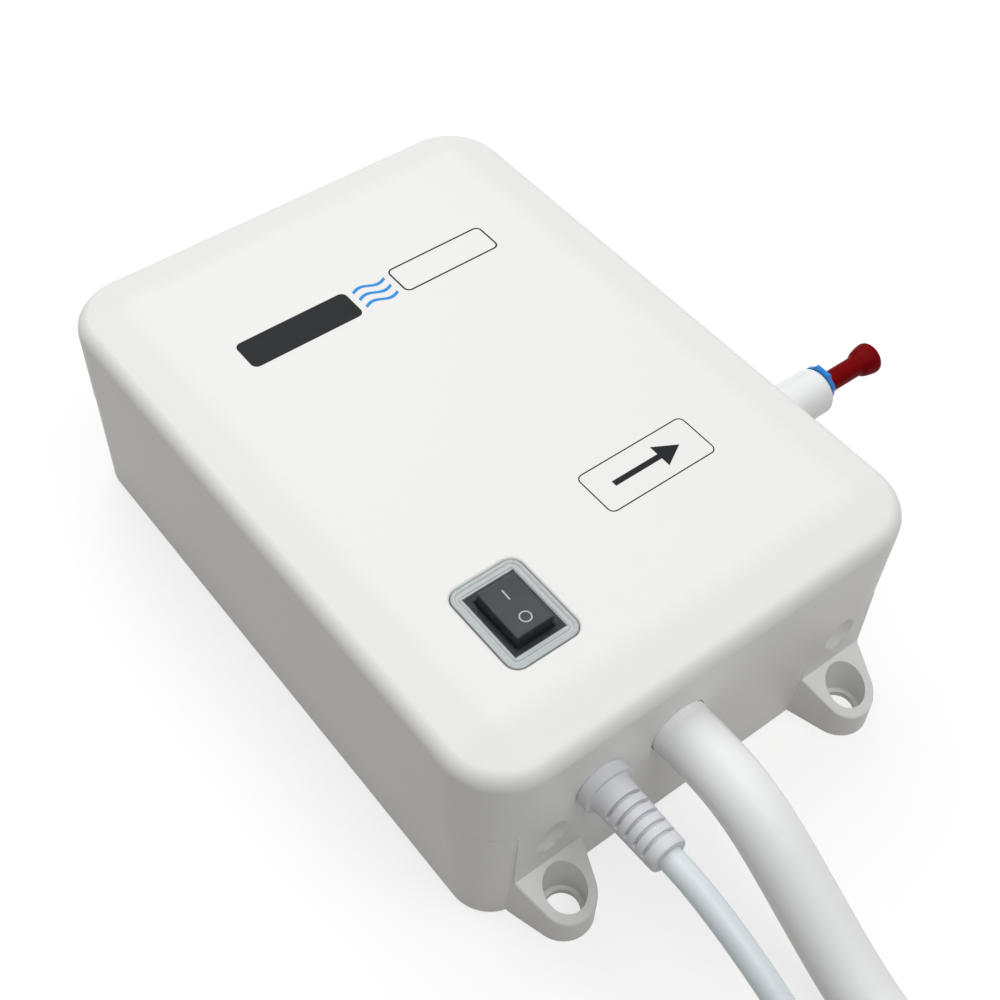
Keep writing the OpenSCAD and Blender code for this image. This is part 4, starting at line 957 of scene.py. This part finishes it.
def boot_silicone(at):
    # Clear moulded silicone: grey white where the frame is thick, a thin veil over the rocker,
    # and a sharp gloss.
    material, tree = new_material("boot_silicone")
    place = add(tree, "ShaderNodeTexCoord").outputs["Object"]
    centred = add(tree, "ShaderNodeMapping", inputs={"Vector": place, "Location": (-at.x, -at.y, 0)})
    axes = add(tree, "ShaderNodeSeparateXYZ", inputs={"Vector": centred.outputs["Vector"]})
    past = {}
    for key, (axis, edge) in enumerate(zip("XY", BOOT_WINDOW)):
        away = add(tree, "ShaderNodeMath", {"operation": "ABSOLUTE"}, {0: axes.outputs[axis]})
        beyond = add(tree, "ShaderNodeMath", {"operation": "SUBTRACT"}, {0: away.outputs["Value"], 1: edge})
        past[key] = beyond.outputs["Value"]
    out = add(tree, "ShaderNodeMath", {"operation": "MAXIMUM"}, past)
    cover = add(tree, "ShaderNodeMapRange", inputs={
        "Value": out.outputs["Value"], "From Min": -0.1 * MM, "From Max": 0.15 * MM,
        "To Min": 0.02, "To Max": 0.9})
    ripple = add(tree, "ShaderNodeTexNoise", inputs={"Vector": place, "Scale": 1 / (1.4 * MM), "Detail": 2.0})
    tone = add(tree, "ShaderNodeMix", {"data_type": "RGBA"}, {
        "Factor": ripple.outputs["Fac"], "A": rgba(linear("#C2C9CA")), "B": rgba(linear("#D6DCDC"))})
    relief = add(tree, "ShaderNodeBump", inputs={
        "Height": ripple.outputs["Fac"], "Distance": 0.03 * MM, "Strength": 1.0})
    surface = add(tree, "ShaderNodeBsdfPrincipled", inputs={
        "Base Color": tone.outputs["Result"], "Roughness": 0.22, "IOR": 1.41,
        "Alpha": cover.outputs["Result"], "Normal": relief.outputs["Normal"]})
    add(tree, "ShaderNodeOutputMaterial", inputs={"Surface": surface.outputs["BSDF"]})
    return material


class PUMP_OT_switch(bpy.types.Operator):
    """Models the rocker switch, its marks and the clear boot over it"""

    bl_idname = "pump.switch"
    bl_label = "Switch"

    def execute(self, context):
        size = context.scene.pump_switch
        at = Vector(size.place)
        w, l, t = size.bezel
        half = Vector((w, l, 0)) / 2
        bezel = rounded_block("switch_bezel", at - half, at + half + UP * t, MM, 4)
        can = half - mm(1.1, 1.1, 0)
        carve(bezel, block("can", at - can - UP * 14 * MM, at + can + UP * 0.5 * MM), "UNION")
        tags = [block("tag", at + mm(-2.4, y - 0.4, -21), at + mm(2.4, y + 0.4, -13.5)) for y in (-5, 5)]
        carve(bezel, joined(tags, "tags"), "UNION")
        well = Vector((size.rocker[0] / 2 + 0.3 * MM, size.rocker[1] / 2 + 0.9 * MM, 0))
        carve(bezel, block("well", at - well - UP * 6.9 * MM, at + well + UP * 10 * MM))
        # Glass-filled nylon: near black with a satin skin.
        nylon = moulded("switch_nylon", tinted(colours().rocker, 0.55), 0.38, 0.3, 0.006, 8, 0.05, {
            "Specular IOR Level": 0.2})
        dressed(bezel, nylon, ["switch_body"], edge=0.25 * MM)

        rocker, pivot, face = shaped_rocker(size)
        turn(rocker, ROCKER_TILT, "X", pivot)
        # Polished nylon: a slate sheen on black where it mirrors the light above.
        polished = moulded("rocker_nylon", colours().rocker, 0.3, 0.4, 0.004, 8, 0.04, {
            "Specular IOR Level": 0.35})
        dressed(rocker, polished, ["switch_rocker"], "rocker", 0.35 * MM, 4)
        ink = pad_print("white_pad_print", "#C9CCCC")
        bar = block("on_mark", mm(-0.2, -1.6, -0.1), mm(0.2, 1.6, 0.05))
        circle = turned("off_mark", ring(1.35, 1.7, -0.1, 0.15), Vector(), UP, OUT_X, 48)
        for mark, offset in ((bar, 3.7 * MM), (circle, -4 * MM)):
            lay_on_dish(mark, offset, face, pivot)
            dressed(mark, ink, body="rocker")

        boot = shaped_boot(size)
        dressed(boot, boot_silicone(at), ["switch_boot"], None)
        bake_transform(boot)
        return {"FINISHED"}


# Mains lead

RELIEF_PROFILE = [
    (0, -5), (7.6, -5), (7.6, -2.7), (5.6, -2.7), (5.6, -0.3), (7.3, -0.3), (7.6, 0), (7.6, 2.9), (7.4, 3.2),
    (6.2, 3.3), (6.05, 3.8), (5.95, 5), (5.85, 8), (5.4, 24.2), (5.2, 24.8), (4.8, 25), (0, 25)]
SLOT_FIRST, SLOT_PITCH = 8.3, 3.1
PLUG_AT = Vector(MAINS_TAIL[-1]) * MM
PLUG_PROFILE = [
    (0, 0), (4.6, 0), (5, 0.4), (6, 8), (8, 11.5), (11, 16), (13, 22), (14.6, 27), (15.6, 28.4), (17.4, 29.4),
    (18, 30.2), (18, 40.6), (17.6, 41.6), (16.6, 42), (0, 42)]
PLUG_GROOVES = ((16.5, 10.4), (19.5, 11.3), (22.5, 12.3), (25.5, 13.2))  # distance and radius
SLIT_FIRST, SLIT_PITCH = 1.8, 2.1
PIN_PROFILE = [
    (0, 42), (2.4, 42), (2.4, 51.5), (2.25, 51.7), (2.25, 52), (2.4, 52.2), (2.4, 59.4), (2.1, 60.3),
    (1.3, 61), (0, 61)]
PIN_SIDE = OUT_X * 9.5 * MM


class PUMP_OT_strain_relief(bpy.types.Operator):
    """Models the strain relief of the mains cord with its rows of slots"""

    bl_idname = "pump.strain_relief"
    bl_label = "Strain relief"

    def execute(self, context):
        relief = turned("cord_strain_relief", RELIEF_PROFILE, GLAND_PORT, OUT_FRONT, UP)
        slots = []
        for i in range(context.scene.pump_cords.slot_rows):
            slots += arcs(ring(4.3, 8, SLOT_FIRST + SLOT_PITCH * i, 1), GLAND_PORT, (85, 265), 155, 24)
        carve(relief, joined(slots, "slots"))
        # Moulded soft PVC with a matt skin: light lilac grey, duller than the cord.
        pvc = moulded("relief_pvc", colours().relief, 0.5, 0.5, 0.015, 12, 0.02, {"IOR": 1.54})
        dressed(relief, pvc, ["mains_strain_relief"], edge=0.15 * MM)
        return {"FINISHED"}


class PUMP_OT_mains_plug(bpy.types.Operator):
    """Models the round two-pin mains plug with its finger grooves"""

    bl_idname = "pump.mains_plug"
    bl_label = "Mains plug"

    def execute(self, context):
        plug = turned("plug_body", PLUG_PROFILE, PLUG_AT, OUT_FRONT, UP)
        grooves = []
        for d, r in PLUG_GROOVES:
            grooves += arcs(ring(r, r + 6, d, 1.3, 0.4), PLUG_AT, (-40, 140), 80, 18)
        for i, first in enumerate((-60, 30, -60)):
            slit = ring(4.3, 9, SLIT_FIRST + SLIT_PITCH * i, 0.9)
            grooves += arcs(slit, PLUG_AT, (first, first + 180), 120, 18)
        carve(plug, joined(grooves, "grooves"))
        # Injection-moulded hard PVC: white, satin, a little duller where fingers grip it.
        pvc = moulded("plug_pvc", linear("#E9EBEC"), 0.4, 0.4, 0.01, 14, 0.02)
        dressed(plug, pvc, ["mains_plug"], edge=0.2 * MM)
        pins = [turned("pin", PIN_PROFILE, PLUG_AT + PIN_SIDE * s, OUT_FRONT, UP, 40) for s in (-1, 1)]
        # Nickel-plated brass: pale warm grey, bright, with fine turning marks across the pin.
        brass = metal("plated_brass", linear("#C9C6BF"), 0.24, (1, 12, 1), 2.4, 0.0015)
        dressed(joined(pins, "plug_pin_pair"), brass, ["plug_pins"])
        return {"FINISHED"}


# Suction hose

INTAKE_AT = Vector(HOSE_TAIL[-1]) * MM
INTAKE_PROFILE = [
    (0, 0), (9, 0), (9.3, 0.4), (9.3, 7.6), (9, 8.2), (7.6, 10), (7.5, 32), (7.2, 33.4), (6, 35.3), (4.5, 36),
    (0, 36)]
TIES = (("cord_strap", MAINS_COIL, 160, "mains_tie"), ("hose_strap", HOSE_COIL, -40, "hose_tie"))
TIE_THICK, TIE_SLACK, TIE_LAP = 0.8, 0.2, 0.4
FLAP_START, FLAP_SINK, FLAP_CORNER = 0.15, 0.1 * MM, 1.5 * MM


def spokes(name, low, high, count, first=0):
    """Blocks set round the intake's axis, as one object."""
    blocks = [block(name, INTAKE_AT + low, INTAKE_AT + high) for _ in range(count)]
    return joined([turn(one, first + 360 / count * k, "Y", INTAKE_AT) for k, one in enumerate(blocks)], name)


class PUMP_OT_intake(bpy.types.Operator):
    """Models the slotted intake at the end of the suction hose"""

    bl_idname = "pump.intake"
    bl_label = "Intake"

    def execute(self, context):
        intake = turned("hose_intake", INTAKE_PROFILE, INTAKE_AT, OUT_FRONT, UP)
        carve(intake, rod("core", INTAKE_AT + mm(0, -12, 0), INTAKE_AT + mm(0, -32, 0), 5.7 * MM, 48))
        carve(intake, spokes("slots", mm(-0.8, -31, 3), mm(0.8, -13, 12), 8, 22.5))
        carve(intake, spokes("grips", mm(-0.7, -6.6, 8.7), mm(0.7, -1.6, 12), 12))
        # Moulded polypropylene: dark grey with a waxy sheen.
        plastic = moulded("intake_polypropylene", linear("#3C3F42"), 0.42, 0.6, 0.012, 10, 0.06)
        dressed(intake, plastic, ["intake_strainer"], edge=0.2 * MM)
        return {"FINISHED"}


def shaped_tie(name, coil, angle, width):
    """A strap round the turns of a coil at one angle, its end laid over itself."""
    first = ((angle - coil["start"]) * coil["turn"] / 360) % 1
    passes = [first + k for k in range(math.ceil(coil_end(coil))) if first + k < coil_end(coil)]
    radii = [coil_radius(coil, t) for t in passes]
    levels = [coil_level(coil, t) for t in passes]
    cord, half = coil["d"] / 2, width / MM / 2
    room = cord + TIE_SLACK + TIE_THICK
    low = mm(min(radii) - room, -half, min(levels) - room)
    high = mm(max(radii) + room, half, max(levels) + room)
    strap = block(name, low, high)
    with editing(strap):
        round_edges(strap, lambda e: abs(e.verts[0].co.y - e.verts[1].co.y) > MM, cord * MM, 8)
        pick(strap, "FACE", lambda f: abs(f.normal.y) > SAME_WAY)
        inset(TIE_THICK * MM)
        bpy.ops.mesh.bridge_edge_loops()
    lap = (half - TIE_LAP) * MM
    flap = rounded_block("flap", (low.x + FLAP_START * (high.x - low.x), -lap, high.z - FLAP_SINK),
                         (high.x - (cord + 0.5) * MM, lap, high.z + TIE_THICK * MM), FLAP_CORNER)
    carve(strap, flap, "UNION")
    turn(strap, angle, "Z", Vector())
    return placed(strap, Matrix.Translation(mm(*coil["centre"], 0)))


class PUMP_OT_ties(bpy.types.Operator):
    """Models the straps that hold the two coils"""

    bl_idname = "pump.ties"
    bl_label = "Coil straps"

    def execute(self, context):
        # Hook-and-loop strap: black woven nylon with a short matt nap.
        nap = moulded("strap_nylon", linear("#1B1B1D"), 0.85, 0.35, 0.06, 4, 0.25, {
            "Sheen Weight": 0.35, "Sheen Roughness": 0.5})
        for name, coil, angle, node in TIES:
            strap = shaped_tie(name, coil, angle, context.scene.pump_cords.tie_width)
            dressed(strap, nap, [node], edge=0.2 * MM)
        return {"FINISHED"}


# Outlet

FITTING_PROFILE = [
    (2, -21.5), (3.1, -21.5), (3.1, -9.5), (6.2, -9.5), (6.2, -0.35), (8.5, -0.35), (8.5, 2.4), (8.1, 3),
    (7.4, 3.2), (7.4, 17.4), (7.25, 18.2), (7.25, 24.2), (7.1, 25), (6.7, 25.6), (6.1, 25.8), (4.6, 25.8),
    (4.6, 17.5), (5.6, 17.5), (5.6, 14), (3.25, 14), (3.25, 8), (2, 8), (2, -21.5)]
COLLET_PROFILE = [
    (3.3, 15), (4.4, 15), (4.4, 27.3), (4.75, 27.3), (4.75, 27.8), (4.5, 28.1), (3.3, 28.1), (3.3, 15)]
STOPPER_PROFILE = [
    (0, 8.5), (2.7, 8.5), (3.175, 9.5), (3.175, 41.6), (3.3, 42.2), (3.7, 42.8), (4.1, 43.5), (4.4, 44.5),
    (4.7, 45.8), (4.9, 47), (4.95, 47.8), (4.8, 48.4), (4.4, 48.8), (3.6, 49), (0, 49)]
CLIP_START, CLIP_THICK = 25.95, 1.2


def shaped_clip():
    """The clip: a fork with a round back, open downwards, and a tab to pull."""
    clip = turned("outlet_clip", ring(4.5, 7, CLIP_START, CLIP_THICK), OUTLET_PORT, OUT_X, UP)
    at = OUTLET_PORT + mm(CLIP_START + CLIP_THICK / 2, 0, 0)
    carve(clip, block("fork", at + mm(-2, -5.4, -9), at + mm(2, 5.4, 9)), "INTERSECT")
    tab = block("tab", at + mm(-0.6, -3.4, 5.6), at + mm(0.6, 3.4, 7.7))
    with editing(tab):
        pick(tab, "VERT", lambda v: v.co.z > at.z + 7 * MM)
        resize(1, 0.75, at)
    carve(clip, tab, "UNION")
    carve(clip, block("mouth", at + mm(-2, -4.5, -9), at + mm(2, 4.5, 0)))
    return clip


class PUMP_OT_outlet(bpy.types.Operator):
    """Models the push-in outlet, its locking clip and the transport plug"""

    bl_idname = "pump.outlet"
    bl_label = "Outlet"

    def execute(self, context):
        # Moulded acetal: clean cool white with a bright narrow gloss.
        acetal = moulded("fitting_acetal", linear("#F8FAFA"), 0.24, 1.5, 0.012, 15, 0.008, {"IOR": 1.48})
        fitting = turned("outlet_body", FITTING_PROFILE, OUTLET_PORT, OUT_X, UP)
        dressed(fitting, acetal, ["outlet_fitting"], edge=0.15 * MM)
        collet = turned("outlet_grip", COLLET_PROFILE, OUTLET_PORT, OUT_X, UP)
        dressed(collet, acetal, ["outlet_collet"])
        # Moulded polypropylene: strong blue, glossy.
        blue = moulded("clip_polypropylene", colours().clip, 0.28, 0.8, 0.008, 6, 0.05)
        dressed(shaped_clip(), blue, ["collet_clip"], "clip", 0.3 * MM)
        # Dyed acetal: deep red that darkens to its edges, with a soft gloss.
        red = moulded("plug_acetal", colours().plug, 0.5, 1.0, 0.012, 5, 0.08, {
            "IOR": 1.48, "Specular IOR Level": 0.06})
        stopper = turned("outlet_stopper", STOPPER_PROFILE, OUTLET_PORT, OUT_X, UP)
        dressed(stopper, red, ["outlet_plug"], "plug")
        return {"FINISHED"}


# Prints

PRINT_SINK, PRINT_FILM = 0.2 * MM, 0.05 * MM
PRINT_CORNER = 2 * MM
ARROW = ((10, -48.4), (10, -46.6), (26, -46.6), (26, -43.6), (33, -47.5), (26, -51.4), (26, -48.4))
WAVE_FIRST, WAVE_PITCH, WAVE_HIGH, WAVE_HALF = 44.6, 3.4, 0.9, 0.55
WAVE_START, WAVE_LONG, WAVE_STEPS = -4, 11, 24


def frame_print(name, low, high, line):
    """A thin printed frame: a rounded rectangle with its middle taken out."""
    outer = rounded_block(name, low, high, PRINT_CORNER, 6)
    border = Vector((line, line, -MM))
    carve(outer, rounded_block("middle", low + border, high - border, PRINT_CORNER - line, 6))
    return outer


class PUMP_OT_prints(bpy.types.Operator):
    """Prints the plain band and the flow mark on the top"""

    bl_idname = "pump.prints"
    bl_label = "Prints"

    def execute(self, context):
        low = UP * (context.scene.pump_housing.height - PRINT_SINK)
        thick = PRINT_SINK + PRINT_FILM
        high = low + UP * thick
        bar = rounded_block("print_bar", low + mm(-43, 42.6, 0), high + mm(-6, 53.5, 0), PRINT_CORNER, 6)
        outline = frame_print("print_outline", low + mm(9, 42.6, 0), high + mm(43, 53.5, 0), 0.5 * MM)
        flow = frame_print("print_flow_outline", low + mm(3, -55, 0), high + mm(40, -40, 0), 0.35 * MM)
        arrow = plate("print_flow_arrow", [low + mm(x, y, 0) for x, y in ARROW], thick)
        black = pad_print("black_pad_print", "#1B1D20")
        for mark in (bar, outline, flow, arrow):
            dressed(mark, black)
        blue = pad_print("blue_pad_print", "#2E97E5")
        for row in range(3):
            y = WAVE_FIRST + WAVE_PITCH * row
            crest = [(WAVE_START + WAVE_LONG * i / WAVE_STEPS,
                      y + WAVE_HIGH * math.sin(i / WAVE_STEPS * 2 * math.pi)) for i in range(WAVE_STEPS + 1)]
            line = [(x, v - WAVE_HALF) for x, v in crest] + [(x, v + WAVE_HALF) for x, v in reversed(crest)]
            wave = plate(f"print_wave_{row + 1}", [low + mm(x, v, 0) for x, v in line], thick)
            dressed(wave, blue)
        return {"FINISHED"}


# Inside: the kind of material, its name, colour and skin, and the nodes that have it

EVEN = (1, 1, 1)
INSIDE = (
    # Zinc-plated steel: cool grey with a faint cloudy spangle.
    (metal, "zinc_plated_steel", "#B9BCC0", (0.38, EVEN, 0.8, 0.004),
     ("cover_screws", "head_screws", "foot_screws", "board_screws", "hose_clamp")),
    # Ground bearing steel: bright, with fine marks round the shaft.
    (metal, "ground_steel", "#C6C8CB", (0.22, (1, 8, 1), 1.2, 0.002),
     ("wobble_bearing", "wobble_hub", "motor_shaft")),
    # Galvanised sheet: dull grey with broad crystal patches.
    (metal, "galvanised_sheet", "#A9ADB0", (0.45, EVEN, 6.0, 0.01), ("pump_foot",)),
    # Die-cast aluminium: mid grey with a pebbled skin.
    (metal, "cast_aluminium", "#9B9EA2", (0.5, EVEN, 0.9, 0.04), ("drive_housing",)),
    # Sintered bronze: brown gold, grainy and slightly oily.
    (metal, "sintered_bronze", "#A9874F", (0.42, EVEN, 0.4, 0.02), ("front_bush", "rear_bush")),
    # Turned copper: red gold with fine rings.
    (metal, "turned_copper", "#C98259", (0.28, (1, 10, 1), 1.0, 0.004), ("commutator",)),
    # Enamelled copper wire: dark amber strands 0.5 mm apart along the armature.
    (metal, "enamelled_windings", "#A65A2E", (0.35, (6, 0.5, 6), 3.0, 0.1), ("armature",)),
    # Glass-filled nylon: black, satin, with a faint flow pattern.
    (moulded, "pump_nylon", "#1C1D1F", (0.45, 0.5, 0.015, 10, 0.12), ("pump_head", "end_cap", "rectifier")),
    # Moulded acetal: milky white with a low gloss.
    (moulded, "valve_acetal", "#DCDCD8", (0.4, 0.8, 0.01, 10, 0.03),
     ("valve_plate", "outlet_nut", "terminal_block")),
    # Grey acetal: smooth and slightly waxy.
    (moulded, "grey_acetal", "#5C6063", (0.35, 0.8, 0.008, 6, 0.05), ("wobble_plate",)),
    # Moulded nitrile rubber: matt black with a dusty bloom.
    (moulded, "nitrile_rubber", "#202022", (0.75, 0.3, 0.02, 5, 0.2),
     ("outlet_seal", "inlet_valves", "outlet_valve", "diaphragm", "foot_grommets")),
    # Baked enamel on steel: near black with a slight orange peel.
    (moulded, "baked_enamel", "#2A2C30", (0.3, 1.6, 0.02, 20, 0.08), ("motor_can",)),
    # Sintered ferrite: charcoal and chalky.
    (moulded, "sintered_ferrite", "#3A3B3E", (0.7, 0.5, 0.03, 4, 0.15), ("motor_magnets",)),
    # Pressed carbon: black with a graphite shine.
    (moulded, "pressed_carbon", "#17171A", (0.4, 0.3, 0.02, 2, 0.25), ("carbon_brushes",)),
    # Glass-epoxy laminate under green solder mask: glossy with a fine weave.
    (moulded, "board_laminate", "#1E5B3C", (0.3, 1.0, 0.02, 6, 0.12), ("control_board",)),
    # Moulded polyester: bright blue with a satin skin.
    (moulded, "relay_polyester", "#2A62A8", (0.38, 0.5, 0.008, 8, 0.05), ("relay",)),
    # Shrunk PVC sleeve: dark blue, glossy, with faint creases.
    (moulded, "shrunk_sleeve", "#23305E", (0.28, 2.5, 0.05, 8, 0.08), ("capacitor",)),
    # Moulded polyester: dull brick red.
    (moulded, "sensor_polyester", "#A83B2B", (0.42, 0.5, 0.01, 8, 0.06), ("pressure_switch",)),
    # Extruded polyethylene: cloudy white with a soft shine.
    (moulded, "tube_polyethylene", "#E4EAEC", (0.35, 2.0, 0.02, 12, 0.02), ("outlet_tube",)),
)


def finish_nodes(material, nodes):
    """Gives nodes of the frame a material."""
    for node in nodes:
        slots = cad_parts[node].data.materials
        slots.clear()
        slots.append(material)


class PUMP_OT_inside(bpy.types.Operator):
    """Gives the pump, motor, valves and board inside the housing their materials"""

    bl_idname = "pump.inside"
    bl_label = "Inside"

    def execute(self, context):
        for kind, name, code, skin, nodes in INSIDE:
            finish_nodes(kind(name, linear(code), *skin), nodes)
        finish_nodes(hose_silicone(), ["hose_inner"])
        return {"FINISHED"}


# The coils' ends and straps stand before the cords
STEPS = ("stage", "mains_plug", "intake", "ties", "mains_cord", "suction_hose", "cover", "base", "switch",
         "strain_relief", "outlet", "prints", "inside")


class PUMP_PT_panel(bpy.types.Panel):
    """Lists the steps that build the pump"""

    bl_idname = "PUMP_PT_panel"
    bl_label = "Water pump"
    bl_space_type = "VIEW_3D"
    bl_region_type = "UI"
    bl_category = "Water pump"

    def draw(self, context):
        for step in STEPS:
            self.layout.operator("pump." + step)


GROUPS = {"pump_housing": HousingSizes, "pump_cords": CordSizes, "pump_switch": SwitchSizes,
          "pump_colours": PumpColours}
CLASSES = (*GROUPS.values(), PUMP_OT_stage, PUMP_OT_mains_cord, PUMP_OT_suction_hose, PUMP_OT_cover,
           PUMP_OT_base, PUMP_OT_switch, PUMP_OT_strain_relief, PUMP_OT_mains_plug, PUMP_OT_intake,
           PUMP_OT_ties, PUMP_OT_outlet, PUMP_OT_prints, PUMP_OT_inside, PUMP_PT_panel)


def register():
    for kind in CLASSES:
        bpy.utils.register_class(kind)
    for name, group in GROUPS.items():
        setattr(bpy.types.Scene, name, PointerProperty(type=group))


def unregister():
    for name in GROUPS:
        delattr(bpy.types.Scene, name)
    for kind in reversed(CLASSES):
        bpy.utils.unregister_class(kind)


def main():
    register()
    for step in STEPS:
        getattr(bpy.ops.pump, step)()


if __name__ == "__main__":
    main()
